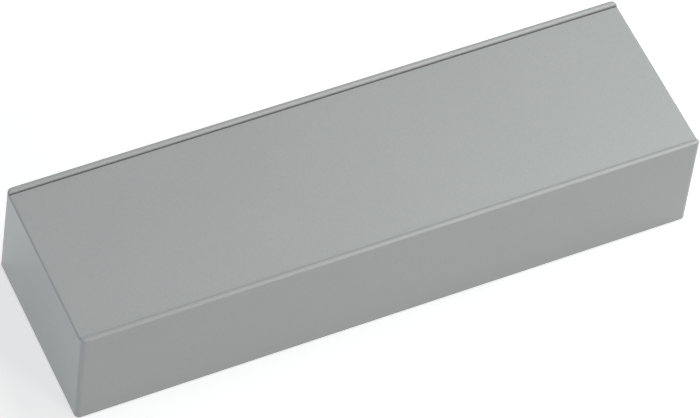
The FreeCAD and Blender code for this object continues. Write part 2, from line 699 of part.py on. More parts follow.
def make_bearing(label, turn):
    """Drawn-cup needle bearing in a bearing cap: its cup, then its ring of needles."""
    inner = "bearing_radius - cup_wall"
    lip = "journal_radius + seat_gap"
    start = "cap_inner + bearing_setback"
    turned_part(label + "_bearing_cup", "Y", turn([
        (start, lip), (start, "bearing_radius"), ("pocket_end", "bearing_radius"),
        ("pocket_end", lip), ("pocket_end - cup_wall", lip), ("pocket_end - cup_wall", inner),
        (start + " + cup_wall", inner), (start + " + cup_wall", lip)]), "spindle_offset")
    needles = []
    count = int(number("roller_count"))
    for index in range(count):
        needle = doc.addObject("Part::Cylinder", "%s_needle_%d" % (label, index))
        bind(needle, "Radius", "needle_radius - fit_gap / 2")
        bind(needle, "Height", "bearing_length - 2 * cup_wall - 2 * washer_play")
        needle.Placement.Rotation = FreeCAD.Rotation(FreeCAD.Vector(1, 0, 0), -90)
        angle = 360.0 / count * index
        ring = "(journal_radius + needle_radius)"
        reach = "%s + cup_wall + washer_play" % start
        if turn is flip:
            reach = "-(pocket_end - cup_wall - washer_play)"
        place(
            needle, "spindle_offset + %s * cos(%s)" % (ring, angle), reach,
            "axis_height + %s * sin(%s)" % (ring, angle))
        needles.append(needle)
    return make_group(label + "_bearing_needles", needles)


def make_spindle_seal():
    """Lip seal round the spindle, pressed into the upper cap."""
    low = "boss_reach - seal_length"
    lip = "journal_radius + fit_gap / 2"
    return turned_part("spindle_seal", "Y", [
        (low, "seal_radius"), ("boss_reach", "seal_radius"),
        ("boss_reach", "journal_radius + seal_wall"),
        ("boss_reach - 4 * seal_edge", "journal_radius + seal_wall"),
        (low + " + 4 * seal_edge", lip), (low + " + 2 * seal_edge", lip),
        (low + " + seal_edge", "journal_radius + seal_wall"),
        ("boss_reach - 2 * seal_wall", "journal_radius + 2 * seal_wall"),
        ("boss_reach - 2 * seal_wall", "seal_radius - seal_wall"),
        (low, "seal_radius - seal_wall")], "spindle_offset")


def involute(radius, base_radius):
    """Polar angle that an involute has gained at a radius."""
    pressure = math.acos(min(1.0, base_radius / radius))
    return math.tan(pressure) - pressure


def pinion_shape():
    """Pinion about the Y axis, with the middle of one tooth on the line to the rack."""
    teeth = int(number("pinion_teeth"))
    pitch_radius = number("pitch_radius")
    tip_radius = number("tip_radius")
    root_radius = number("root_radius")
    slope = math.radians(PRESSURE_ANGLE)
    base_radius = pitch_radius * math.cos(slope)
    arc_share = math.pi / 2 + 2 * number("profile_shift") * math.tan(slope)
    thickness = number("gear_module") * arc_share - number("backlash") / 2
    half_at_base = thickness / 2 / pitch_radius + involute(pitch_radius, base_radius)

    def spot(radius, angle):
        return FreeCAD.Vector(radius * math.cos(angle), 0, radius * math.sin(angle))

    def half_angle(radius):
        return half_at_base - involute(radius, base_radius)

    flank_radii = []
    for step in range(FLANK_POINTS):
        share = (step / (FLANK_POINTS - 1)) ** 1.5
        flank_radii.append(base_radius + (tip_radius - base_radius) * share)
    edges = []
    step_angle = 2 * math.pi / teeth
    for index in range(teeth):
        middle = -math.pi / 2 + index * step_angle
        rising = [spot(r, middle - half_angle(r)) for r in flank_radii]
        falling = [spot(r, middle + half_angle(r)) for r in reversed(flank_radii)]
        foot = spot(root_radius, middle - half_at_base)
        heel = spot(root_radius, middle + half_at_base)
        next_foot = spot(root_radius, middle + step_angle - half_at_base)
        valley = spot(root_radius, middle + step_angle / 2)
        for flank in (rising, falling):
            curve = Part.BSplineCurve()
            curve.interpolate(flank)
            edges.append(curve.toShape())
        edges.append(Part.makeLine(foot, rising[0]))
        edges.append(Part.Arc(rising[-1], spot(tip_radius, middle), falling[0]).toShape())
        edges.append(Part.makeLine(falling[-1], heel))
        edges.append(Part.Arc(heel, valley, next_foot).toShape())
    outline = Part.Wire(Part.__sortEdges__(edges))
    face = Part.Face(outline)
    width = number("pinion_face")
    solid = face.extrude(FreeCAD.Vector(0, width, 0))
    solid.translate(FreeCAD.Vector(0, -width / 2, 0))
    return solid


def make_spindle():
    """Arm spindle: pinion, journals, and the tapered square with its tapped hole."""
    shaft = new_body("spindle_shaft")
    top = "boss_reach + neck_length + square_length"
    spin(shaft, "Y", [
        ("-lower_journal_end", "0"), ("-lower_journal_end", "journal_radius - edge_break"),
        ("-lower_journal_end + edge_break", "journal_radius"),
        ("-shoulder_end", "journal_radius"),
        ("-shoulder_end", "shoulder_radius"), ("shoulder_end", "shoulder_radius"),
        ("shoulder_end", "journal_radius"), (top + " - edge_break", "journal_radius"),
        (top, "journal_radius - edge_break"), (top, "arm_screw_radius"),
        (top + " - arm_screw_depth", "arm_screw_radius"),
        (top + " - arm_screw_depth - arm_screw_radius / 2", "0")])
    square_foot = "boss_reach + neck_length"
    wedge = draw_outline(new_sketch(shaft, "XY_Plane"), [
        ("square_width / 2", square_foot),
        ("(square_width - square_taper) / 2", top + " + run_out"),
        ("2 * journal_radius", top + " + run_out"), ("2 * journal_radius", square_foot)])
    flat = cut(shaft, wedge, "4 * journal_radius", both_ways=True)
    flats = shaft.newObject("PartDesign::PolarPattern", "arm_square")
    flats.Originals = [flat]
    flats.Axis = (origin_item(shaft, "Y_Axis"), [""])
    flats.Angle = 360
    flats.Occurrences = 4
    shaft.Tip = flats
    teeth = doc.addObject("Part::Feature", "pinion_teeth")
    teeth.Shape = pinion_shape()
    spindle = doc.addObject("Part::Fuse", "spindle")
    spindle.Base = shaft
    spindle.Tool = teeth
    place(spindle, "spindle_offset", "0", "axis_height")
    return keep(spindle, "spindle")


def make_washers():
    """Thrust washers between the spindle shoulders and the caps."""
    section = ring_profile(
        "cap_inner - washer_thickness", "cap_inner", "journal_radius + washer_play",
        "washer_radius")
    turned_part("upper_thrust_washer", "Y", section, "spindle_offset")
    turned_part("lower_thrust_washer", "Y", flip(section), "spindle_offset")


def make_piston():
    """Piston with two heads, the window for the pinion and the rack along its lower edge."""
    piston = new_body("piston")
    relief = "piston_radius - piston_relief"
    spin(piston, "X", [
        ("piston_left - spigot_length", "0"),
        ("piston_left - spigot_length", "spigot_radius - edge_break"),
        ("piston_left - spigot_length + edge_break", "spigot_radius"),
        ("piston_left", "spigot_radius"), ("piston_left", "piston_radius - edge_break"),
        ("piston_left + edge_break", "piston_radius"), ("window_left", "piston_radius"),
        ("window_left + edge_break", relief), ("window_right - edge_break", relief),
        ("window_right", "piston_radius"), ("piston_right - edge_break", "piston_radius"),
        ("piston_right", "piston_radius - edge_break"), ("piston_right", "0")])
    window = draw_box(
        new_sketch(piston, "XZ_Plane"), "window_left", "window_right",
        "-rack_tip", "tip_radius + window_end_gap")
    cut(piston, window, "2 * bore_radius", both_ways=True)
    slope = "tan(%s)" % PRESSURE_ANGLE
    middle = "spindle_offset - teeth_before * rack_pitch"
    half = "(rack_pitch / 4 + backlash / 4)"
    at_tip = "(%s + (rack_line - rack_tip + edge_break) * %s)" % (half, slope)
    at_root = "(%s - (rack_root - rack_line) * %s)" % (half, slope)
    space = draw_outline(new_sketch(piston, "XZ_Plane"), [
        ("%s - %s" % (middle, at_root), "-rack_root"),
        ("%s + %s" % (middle, at_root), "-rack_root"),
        ("%s + %s" % (middle, at_tip), "-rack_tip + edge_break"),
        ("%s - %s" % (middle, at_tip), "-rack_tip + edge_break")])
    tooth_space = cut(piston, space, "2 * bore_radius", both_ways=True)
    rack = piston.newObject("PartDesign::LinearPattern", "rack_teeth")
    rack.Originals = [tooth_space]
    rack.Direction = (origin_item(piston, "X_Axis"), [""])
    bind(rack, "Length", "(teeth_before + teeth_after) * rack_pitch")
    bind(rack, "Occurrences", "teeth_before + teeth_after + 1")
    piston.Tip = rack
    doc.recompute()
    bore_check_valve(piston)
    transfer = draw_circle(
        new_sketch(piston, "YZ_Plane", "window_left + run_out"), "0", "check_offset",
        "transfer_radius")
    cut(piston, transfer, "head_length + spigot_length + 2 * run_out")
    place(piston, up="axis_height")
    return keep(piston, "piston")


def bore_check_valve(piston):
    """Stepped bore of the check valve through the head on the damping side."""
    steps = [
        ("retainer_radius", "retainer_length"),
        ("check_ball_radius + check_play", "piston_right - ball_seat"),
        ("check_port_radius", "damping_head_length + run_out"),
    ]
    for radius, depth in steps:
        step = draw_circle(
            new_sketch(piston, "YZ_Plane", "piston_right"), "0", "check_offset", radius)
        cut(piston, step, depth)


def make_check_valve():
    ball = doc.addObject("Part::Sphere", "check_valve_ball")
    bind(ball, "Radius", "check_ball_radius")
    place(ball, "ball_seat + ball_rise", "0", "axis_height + check_offset")
    keep(ball, "check_valve_ball")
    turned_part("check_valve_retainer", "X", ring_profile(
        "piston_right - retainer_length", "piston_right", "check_port_radius + fit_gap",
        "retainer_radius"), up="axis_height + check_offset")


def make_spring():
    """Closing spring: square wire coiled about X, with both ends ground flat."""
    spring = new_body("closing_spring")
    section = draw_box(
        new_sketch(spring, "XZ_Plane"),
        "seat_right - spring_wire / 2", "seat_right + spring_wire / 2",
        "spring_radius - spring_wire / 2", "spring_radius + spring_wire / 2")
    coil = spring.newObject("PartDesign::AdditiveHelix", "coil")
    coil.Profile = section
    coil.ReferenceAxis = (section, ["H_Axis"])
    coil.Mode = "height-turns-angle"
    bind(coil, "Height", "spring_length")
    bind(coil, "Turns", "spring_turns")
    doc.recompute()
    for plane, away in (("seat_right", False), ("piston_left", True)):
        grinding = draw_circle(
            new_sketch(spring, "YZ_Plane", plane), "0", "0", "bore_radius")
        cut(spring, grinding, "spring_wire", reverse=away)
    place(spring, up="axis_height")
    return keep(spring, "closing_spring")


def make_power_adjuster():
    """Sliding spring seat, its screw with sealing ring, and the retaining ring."""
    thread = "adjuster_radius + fit_gap"
    outer = "bore_radius - seat_gap"
    turned_part("spring_seat", "X", [
        ("seat_left", thread), ("seat_right + spigot_length", thread),
        ("seat_right + spigot_length", "spigot_radius - edge_break"),
        ("seat_right + spigot_length - edge_break", "spigot_radius"),
        ("seat_right", "spigot_radius"), ("seat_right", outer), ("seat_left", outer)])
    head = "-plug_inner - head_seat"
    ring_left = "(-plug_inner + washer_play)"
    groove = "(-plug_inner - plug_length / 3)"
    neck = "(adjuster_radius - ring_height / 3)"
    screw = new_body("power_adjusting_screw")
    spin(screw, "X", [
        ("%s - adjuster_head_length" % head, "0"),
        ("%s - adjuster_head_length" % head, "adjuster_head_radius - edge_break"),
        ("%s - adjuster_head_length + edge_break" % head, "adjuster_head_radius"),
        (head, "adjuster_head_radius"), (head, "adjuster_radius"),
        *grooved(groove, "adjuster_radius"),
        (ring_left, "adjuster_radius"), (ring_left, neck),
        (ring_left + " + ring_thickness", neck),
        (ring_left + " + ring_thickness", "adjuster_radius"),
        ("adjuster_end - edge_break", "adjuster_radius"),
        ("adjuster_end", "adjuster_radius - edge_break"), ("adjuster_end", "0")])
    socket = draw_hexagon(
        new_sketch(screw, "YZ_Plane", "%s - adjuster_head_length" % head),
        "adjuster_socket_width")
    cut(screw, socket, "adjuster_head_length - adjuster_floor", reverse=True)
    place(screw, up="axis_height")
    keep(screw, "power_adjusting_screw")
    turned_part("adjusting_screw_seal", "X", packed_ring(
        groove, "(adjuster_radius - seal_depth)", "(adjuster_radius + fit_gap / 2)"))
    retaining = new_body("adjusting_screw_retaining_ring")
    spin(retaining, "X", ring_profile(
        ring_left, ring_left + " + ring_thickness", neck, neck + " + ring_height"))
    mouth = draw_box(
        new_sketch(retaining, "YZ_Plane", ring_left), "-adjuster_radius / 2", "adjuster_radius / 2",
        "-adjuster_radius - ring_height", "0")
    cut(retaining, mouth, "ring_thickness", reverse=True)
    place(retaining, up="axis_height")
    keep(retaining, "adjusting_screw_retaining_ring")


def make_valve(label, spot):
    """Metering valve screw with its sealing ring, set in from the side of the block."""
    outer = "(valve_radius - fit_gap)"
    inner_end = "(valve_face - valve_thread_length)"
    needle = "(port_radius - needle_gap)"
    groove = "(%s + valve_seal_setback)" % inner_end
    valve = new_body(label)
    spin(valve, "Y", flip([
        (inner_end + " - needle_length", "0"),
        (inner_end + " - needle_length + needle_gap * 4", needle), (inner_end, needle),
        (inner_end, outer), *grooved(groove, outer),
        ("valve_face", outer), ("valve_face", "0")]))
    socket = draw_hexagon(new_sketch(valve, "XZ_Plane", "valve_face"), "valve_socket_width")
    cut(valve, socket, "valve_thread_length - valve_seal_setback - seal_width - edge_break")
    place(valve, spot, "0", "axis_height")
    keep(valve, label)
    section = packed_ring(groove, "(valve_radius - fit_gap - seal_depth)",
                          "(valve_radius - fit_gap / 2)")
    return turned_part(label + "_seal", "Y", flip(section), spot)


def make_oil_way_plugs():
    """Pins pressed into the drilled ends of the oil channel and of the return port."""
    plugs = []
    depth = "(channel_plug_length + channel_plug_setback)"
    spots = [
        ("X", "barrel_end - %s" % depth, "-channel_line"),
        ("Y", "return_spot", "-valve_face + channel_plug_setback"),
    ]
    section = [
        ("0", "0"), ("0", "channel_plug_radius"),
        ("channel_plug_length", "channel_plug_radius"), ("channel_plug_length", "0")]
    for index, (axis, across, side) in enumerate(spots):
        name = "oil_way_plug_%d" % index
        plugs.append(turned_member(name, axis, section, across, side))
    return make_group("oil_way_plugs", plugs)


def make_clip(label, turned_round):
    """Spring strip on an ear, bowed towards the end wall of the cover."""
    clip = new_body(label)
    top = "ear_thickness + clip_height"
    strip = draw_outline(new_sketch(clip, "XZ_Plane"), [
        ("barrel_end + clip_inset", "ear_thickness"), ("ear_end", "ear_thickness"),
        ("clip_bow", "clip_middle"), ("clip_bow - clip_thickness", top),
        ("clip_bow - 2 * clip_thickness", top), ("clip_bow - clip_thickness", "clip_middle"),
        ("ear_end - clip_thickness", "ear_thickness + clip_thickness"),
        ("barrel_end + clip_inset", "ear_thickness + clip_thickness")])
    pad(clip, strip, "clip_width", both_ways=True)
    hole = draw_circle(
        new_sketch(clip, "XY_Plane"), "barrel_end + clip_screw_inset", "0",
        "clip_screw_radius + 2 * fit_gap")
    cut(clip, hole, "ear_thickness + 2 * clip_thickness", reverse=True)
    if turned_round:
        clip.Placement.Rotation = FreeCAD.Rotation(FreeCAD.Vector(0, 0, 1), 180)
    return keep(clip, label)


def make_clip_screws():
    """The two screws that hold the cover clips on the ears."""
    screws = []
    for name, end in (("spring_side_clip_screw", "-"), ("damping_side_clip_screw", "")):
        screw = new_body(name)
        shank = draw_circle(
            new_sketch(screw, "XY_Plane", "clip_screw_setback"), "0", "0", "clip_screw_radius")
        pad(screw, shank, "ear_thickness + clip_thickness - clip_screw_setback")
        head = draw_circle(
            new_sketch(screw, "XY_Plane", "ear_thickness + clip_thickness"), "0", "0",
            "clip_head_radius")
        pad(screw, head, "clip_head_height")
        slot = draw_box(
            new_sketch(screw, "XY_Plane", "ear_thickness + clip_thickness + clip_head_height"),
            "-clip_head_radius", "clip_head_radius", "-clip_slot_width / 2", "clip_slot_width / 2")
        cut(screw, slot, "clip_head_height / 2")
        place(screw, "%s(barrel_end + clip_screw_inset)" % end)
        screws.append(screw)
    return make_group("clip_screws", screws)


def write_parts():
    """Check every object, then write each sub-part under its own name."""
    for item in doc.Objects:
        if "Invalid" in item.State or "Error" in item.State:
            raise RuntimeError("%s failed to compute" % item.Label)
    for item in parts:
        if item.Shape.isNull() or not item.Shape.isValid():
            raise RuntimeError("%s has no valid shape" % item.Label)
    os.makedirs("parts", exist_ok=True)
    for item in parts:
        item.Shape.exportStep("parts/%s.step" % item.Label)


make_cover()
make_housing()
make_damping_plug()
make_spring_plug()
make_plug_seals()
make_upper_cap()
make_lower_cap()
make_cap_seals()
make_bearing("upper", list)
make_bearing("lower", flip)
make_spindle_seal()
make_spindle()
make_washers()
make_piston()
make_check_valve()
make_spring()
make_power_adjuster()
make_valve("closing_speed_valve", "closing_spot")
make_valve("latching_speed_valve", "latching_spot")
make_oil_way_plugs()
make_clip("spring_side_clip", True)
make_clip("damping_side_clip", False)
make_clip_screws()
doc.recompute()
write_parts()
print("%d sub-parts written" % len(parts))
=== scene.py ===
"""Surface-mounted door closer: its painted cover, the finishes of its metal pieces and the stage.

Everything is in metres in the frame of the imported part.  X runs along the closer, Y towards the
side where the spindle leaves, and Z away from the door.
"""
import math

import bmesh
import bpy
from bpy.props import FloatProperty, FloatVectorProperty, IntProperty, PointerProperty
from mathutils import Euler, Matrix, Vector


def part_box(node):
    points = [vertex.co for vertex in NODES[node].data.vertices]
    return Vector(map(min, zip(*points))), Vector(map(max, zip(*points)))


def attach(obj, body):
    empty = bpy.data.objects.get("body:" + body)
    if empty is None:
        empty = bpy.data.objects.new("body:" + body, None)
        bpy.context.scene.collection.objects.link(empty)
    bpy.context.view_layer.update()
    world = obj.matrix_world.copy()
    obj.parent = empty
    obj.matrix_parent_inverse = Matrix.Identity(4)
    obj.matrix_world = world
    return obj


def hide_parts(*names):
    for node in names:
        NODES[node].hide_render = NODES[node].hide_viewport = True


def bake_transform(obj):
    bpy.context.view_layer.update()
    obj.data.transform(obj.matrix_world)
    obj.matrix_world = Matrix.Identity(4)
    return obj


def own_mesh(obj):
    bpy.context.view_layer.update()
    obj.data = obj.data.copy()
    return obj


bl_info = {
    "name": "Door Closer",
    "version": (1, 0, 0),
    "blender": (4, 5, 0),
    "location": "View3D > Sidebar > Door Closer",
    "description": "Cover, metal finishes and stage of a surface-mounted door closer",
    "category": "Object",
}

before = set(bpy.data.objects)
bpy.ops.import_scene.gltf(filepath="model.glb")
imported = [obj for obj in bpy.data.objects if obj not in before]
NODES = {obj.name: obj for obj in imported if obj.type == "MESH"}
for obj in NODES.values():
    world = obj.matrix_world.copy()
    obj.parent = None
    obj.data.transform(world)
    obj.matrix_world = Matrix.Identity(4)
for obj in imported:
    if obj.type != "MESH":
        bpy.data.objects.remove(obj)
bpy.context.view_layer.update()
COVER_LOW, COVER_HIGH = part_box("cover")
CAP_LOW, CAP_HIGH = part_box("upper_bearing_cap")
PLUG_LOW, PLUG_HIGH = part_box("spring_end_plug")
ON_SPINDLE = (CAP_LOW + CAP_HIGH) / 2
ON_BARREL = (PLUG_LOW + PLUG_HIGH) / 2
ALONG_SPINDLE = (0, 1, 0)
ALONG_BARREL = (1, 0, 0)

MM = 0.001
MM_PER_METRE = 1000.0
SMOOTH_ANGLE = math.radians(35)
SENSOR_WIDTH_MM = 36.0

# Steps of the roundings of the cover.
EDGE_STEPS = 8
INNER_EDGE_STEPS = 6
CORNER_STEPS = 12
HOLLOW_STEPS = 5
NOTCH_STEPS = 48

# Largest share of a rib's width that each of its roundings takes at the cover's corners.
EDGE_SHARE = 0.55
INNER_EDGE_SHARE = 0.4

# The crease at the foot of a rib, as shares of its width and depth.  It runs out at the ends.
CREASE_PROFILE = ((0.0, 0.0), (0.10, 0.85), (0.35, 1.0), (0.75, 0.3), (1.0, 0.0))
CREASE_RUN_OUT = 0.6 * MM
CREASE_WIDTHS_TO_PANEL = 4

# Distances from an end at which the cover has a section, past its rounded corners.
STATION_ENDS = (2.5 * MM, 6 * MM, 20 * MM, 60 * MM)
HOLLOW_CORNER = 0.8 * MM
NOTCH_MARGIN = 5 * MM
NOTCH_REACH = 10 * MM

# Each lamp's name, its place, the point it faces, its size and its colour.
LAMPS = (
    ("overhead", (0.50, 0.03, 0.72), (0.02, 0, 0.03), (0.7, 0.7), (0.95, 1.0, 0.985)),
    ("front", (0.45, -1.1, 0.72), (0, 0, 0.02), (0.34, 0.24), (1.0, 0.89, 0.84)),
    ("left", (-1.1, -0.35, 0.45), (-0.1, 0, 0.02), (0.6, 0.5), (0.45, 0.72, 1.0)),
)
CAMERA_PLACE = (-0.4000, -0.6508, 1.0691)
CAMERA_TURN = (0.622307, -0.088311, -0.428227)
CAMERA_CLIP = (0.05, 50.0)
FLOOR_GLOW = 0.54


def length(name, description, default):
    """A size of the panel, in metres."""
    return FloatProperty(name=name, description=description, default=default, min=0.0,
                         precision=5, unit="LENGTH", subtype="DISTANCE")


def colour(name, description, default):
    """A colour of the panel."""
    return FloatVectorProperty(name=name, description=description, default=default, size=3,
                               min=0.0, max=1.0, subtype="COLOR")


def amount(name, description, default, high=1.0):
    """A plain number of the panel, from nothing to its highest value."""
    return FloatProperty(name=name, description=description, default=default, min=0.0, max=high)


class CloserCover(bpy.types.PropertyGroup):
    """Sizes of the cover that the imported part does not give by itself."""
    draft: FloatProperty(
        name="Draft", description="Slope of the walls, which widen towards the door",
        default=math.radians(1.2), min=0.0, max=0.1, subtype="ANGLE")
    rib_width: length("Rib width", "Rib along each long edge of the front panel", 2.1 * MM)
    rib_height: length("Rib height", "Ribs above the front panel", 0.95 * MM)
    rib_inner_radius: length("Rib inner edge", "Rounding of the inner edge of a rib", 0.8 * MM)
    edge_radius: length("Rib outer edge", "Rounding of the outer edge of a rib", 0.7 * MM)
    rib_end_radius: length("Rib ends", "Rounding of the ends of a rib", 0.9 * MM)
    corner_radius: length("Corners", "Rounding of the upright corners", 1.6 * MM)
    panel_end_radius: length("Panel ends", "Rounding of the front panel's ends", 0.6 * MM)
    wall: length("Wall", "Side and end walls", 1.8 * MM)
    panel_wall: length("Panel", "Thickness of the front panel", 1.15 * MM)
    crease_width: length("Crease width", "Crease at the foot of each rib", 0.24 * MM)
    crease_depth: length("Crease depth", "Depth of that crease", 0.4 * MM)
    notch_radius: length("Notch radius", "Notch for the spindle", 8.5 * MM)
    spring_parting: length("Spring parting", "Part of the spring that moves with its seat",
                           12 * MM)


class CloserFinish(bpy.types.PropertyGroup):
    """Colours and roughness of the finishes."""
    paint: colour("Cover paint", "Silver-grey paint of the cover", (0.395, 0.405, 0.402))
    paint_roughness: amount("Paint roughness", "Roughness of the cover paint", 0.4)
    casting: colour("Casting", "Shot-blasted cast aluminium", (0.50, 0.505, 0.51))
    zinc: colour("Zinc", "Zinc-plated steel", (0.56, 0.57, 0.56))
    ground_steel: colour("Ground steel", "Bearings, washers and ball", (0.60, 0.59, 0.58))
    hard_steel: colour("Hardened steel", "Spindle, piston and spring seat", (0.33, 0.325, 0.32))
    spring_steel: colour("Spring steel", "Oiled spring steel", (0.16, 0.165, 0.18))
    brass: colour("Brass", "Turned brass of the valve screws", (0.68, 0.49, 0.22))
    rubber: colour("Rubber", "Sealing rings", (0.018, 0.018, 0.019))


class CloserStage(bpy.types.PropertyGroup):
    """Floor, lamps and camera."""
    floor: colour("Floor", "Colour of the floor", (0.80, 0.80, 0.80))
    surround: amount("Surround", "Strength of the pale surround", 0.26, 4.0)
    overhead: amount("Overhead lamp", "Power of the soft lamp above, in watts", 3.9, 500.0)
    front: amount("Front lamp", "Power of the soft lamp in front, in watts", 2.5, 500.0)
    left: amount("Left lamp", "Power of the cool lamp on the left, in watts", 1.1, 500.0)
    lens: amount("Lens", "Focal length of the camera in millimetres", 216.8, 1000.0)
    reach: IntProperty(name="Floor reach", description="Half width of the floor in metres",
                       default=6, min=1, max=50)


def active_only(piece):
    """Select one object and make it active."""
    for other in bpy.context.selected_objects:
        other.select_set(False)
    piece.select_set(True)
    bpy.context.view_layer.objects.active = piece


def apply_modifier(piece, kind, **settings):
    """Add one modifier, set it up and apply it."""
    modifier = piece.modifiers.new(kind.title(), kind)
    for key, value in settings.items():
        setattr(modifier, key, value)
    active_only(piece)
    bpy.ops.object.modifier_apply(modifier=modifier.name)


def mesh_object(name, form):
    """A new object from a bmesh, which is used up."""
    bmesh.ops.recalc_face_normals(form, faces=form.faces)
    mesh = bpy.data.meshes.new(name)
    form.to_mesh(mesh)
    form.free()
    piece = bpy.data.objects.new(name, mesh)
    bpy.context.scene.collection.objects.link(piece)
    return piece


def smooth_by_angle(piece, angle):
    """Smooth shading, with the edges over an angle kept sharp."""
    for face in piece.data.polygons:
        face.use_smooth = True
    piece.data.set_sharp_from_angle(angle=angle)


def circle_drop(radius, away):
    """How far a rounded edge lies below its square corner, at a distance from the side."""
    if away >= radius:
        return 0.0
    return radius - math.sqrt(max(0.0, radius ** 2 - (radius - away) ** 2))


def arc_distances(radius, steps):
    """Distances from the side at which an arc is sampled evenly by angle."""
    return [radius * (1 - math.cos(math.pi / 2 * step / steps)) for step in range(steps + 1)]


class ShellForm:
    """The cover's form, worked out with upright walls; the draft is added at the end."""

    def __init__(self, sizes):
        self.sizes = sizes
        self.bottom = COVER_LOW.z
        self.top = COVER_HIGH.z
        self.lean = math.tan(sizes.draft) * (self.top - self.bottom)
        self.half_length = (COVER_HIGH.x - COVER_LOW.x) / 2 - self.lean
        self.half_width = (COVER_HIGH.y - COVER_LOW.y) / 2 - self.lean

    def edge_distance(self, end, side):
        """Distance to the outline from a point that is this far from the end and the side."""
        corner = self.sizes.corner_radius
        if end >= corner or side >= corner:
            return min(end, side)
        return corner - math.hypot(corner - end, corner - side)

    def edge_round(self, end, side):
        """Edge rounding here: the long edges' radius, turning into the ends' at the corner."""
        corner = self.sizes.corner_radius
        share = math.atan2(max(0.0, corner - end), max(1e-9, corner - side)) / (math.pi / 2)
        if end >= corner:
            share = 0.0
        return self.sizes.edge_radius * (1 - share) + self.sizes.rib_end_radius * share

    def rib_z(self, end, side):
        """Height of a rib, with its outer and inner edges rounded."""
        inner = self.sizes.rib_width - side
        outer_drop = circle_drop(self.edge_round(end, side), self.edge_distance(end, side))
        return self.top - outer_drop - circle_drop(self.sizes.rib_inner_radius, inner)

    def panel_z(self, end):
        """Height of the front panel, rounded at its ends."""
        return self.top - self.sizes.rib_height - circle_drop(self.sizes.panel_end_radius, end)

    def section(self, end):
        """Half of one cross-section, from the rim to the middle, as (distance from side, z)."""
        sizes = self.sizes
        inset = circle_drop(sizes.corner_radius, end)
        across = sizes.rib_width - inset
        outer_part = min(sizes.edge_radius, across * EDGE_SHARE)
        outer = [way * outer_part / sizes.edge_radius
                 for way in arc_distances(sizes.edge_radius, EDGE_STEPS)]
        inner_part = min(sizes.rib_inner_radius, across * INNER_EDGE_SHARE)
        inner = [across - way * inner_part / sizes.rib_inner_radius
                 for way in reversed(arc_distances(sizes.rib_inner_radius, INNER_EDGE_STEPS))]
        points = [(inset, self.bottom)]
        points += [(inset + way, self.rib_z(end, inset + way)) for way in outer + inner]
        foot = sizes.rib_width
        panel = self.panel_z(end)
        crease = sizes.crease_depth * min(1.0, end / CREASE_RUN_OUT)
        points += [(foot + aside * sizes.crease_width, panel - down * crease)
                   for aside, down in CREASE_PROFILE]
        points += [(foot + CREASE_WIDTHS_TO_PANEL * sizes.crease_width, panel),
                   (self.half_width, panel)]
        return points

    def leaned(self, x, y, z):
        """Widen a point towards the rim, and move it to the cover's place."""
        share = (self.top - z) / (self.top - self.bottom) * self.lean
        centre = (COVER_LOW + COVER_HIGH) / 2
        return Vector((centre.x + x * (1 + share / self.half_length),
                       centre.y + y * (1 + share / self.half_width), z))

    def stations(self):
        """Places of the sections along the cover, as (x, distance from the nearer end)."""
        ends = arc_distances(self.sizes.corner_radius, CORNER_STEPS)
        ends += STATION_ENDS
        left = [(-self.half_length + end, end) for end in ends]
        right = [(self.half_length - end, end) for end in reversed(ends)]
        return left + [(0.0, self.half_length)] + right


def outer_rows(form, shell):
    """Vertices of the outside, one row for each station along the cover."""
    rows = []
    for x, end in shell.stations():
        half = shell.section(end)
        near = [(-shell.half_width + side, z) for side, z in half]
        far = [(-y, z) for y, z in reversed(near[:-1])]
        rows.append([form.verts.new(shell.leaned(x, y, z)) for y, z in near + far])
    return rows


def inner_rows(form, shell):
    """Vertices of the hollow, at the same stations as the outside."""
    sizes = shell.sizes
    rows = []
    half_length = shell.half_length - sizes.wall
    half_width = shell.half_width - sizes.wall
    ceiling = shell.top - sizes.rib_height - sizes.panel_wall
    for x, _ in shell.stations():
        squeezed = x * half_length / shell.half_length
        away = half_length - abs(squeezed)
        inset = circle_drop(HOLLOW_CORNER, away)
        row = [(-half_width + inset, shell.bottom)]
        for way in arc_distances(HOLLOW_CORNER, HOLLOW_STEPS):
            drop = circle_drop(HOLLOW_CORNER, min(way, away))
            row.append((-half_width + inset + way, ceiling - drop))
        row.append((0.0, ceiling - inset))
        row += [(-y, z) for y, z in reversed(row[:-1])]
        rows.append([form.verts.new(shell.leaned(squeezed, y, z)) for y, z in row])
    return rows


def skin(form, rows):
    """Faces between neighbouring rows."""
    for first, second in zip(rows, rows[1:]):
        for index in range(len(first) - 1):
            form.faces.new((first[index], first[index + 1], second[index + 1], second[index]))


def rim(form, outer, inner):
    """The flat rim between the outside and the hollow."""
    for side in (0, -1):
        for (a, b), (c, d) in zip(zip(outer, outer[1:]), zip(inner, inner[1:])):
            form.faces.new((a[side], b[side], d[side], c[side]))
    for index in (0, -1):
        form.faces.new((outer[index][0], outer[index][-1], inner[index][-1], inner[index][0]))


def notch_cutter(shell):
    """A U-shaped prism through the wall where the spindle leaves."""
    form = bmesh.new()
    radius = shell.sizes.notch_radius
    below = shell.bottom - NOTCH_MARGIN
    outline = [(ON_SPINDLE.x - radius, below)]
    for step in range(NOTCH_STEPS + 1):
        angle = math.pi - math.pi * step / NOTCH_STEPS
        outline.append((ON_SPINDLE.x + radius * math.cos(angle),
                        ON_SPINDLE.z + radius * math.sin(angle)))
    outline.append((ON_SPINDLE.x + radius, below))
    inside = shell.half_width - NOTCH_MARGIN
    outside = shell.half_width + NOTCH_REACH
    front = [form.verts.new((x, inside, z)) for x, z in outline]
    back = [form.verts.new((x, outside, z)) for x, z in outline]
    form.faces.new(front)
    form.faces.new(list(reversed(back)))
    for index in range(len(front)):
        follow = (index + 1) % len(front)
        form.faces.new((front[index], back[index], back[follow], front[follow]))
    return mesh_object("notch_cutter", form)


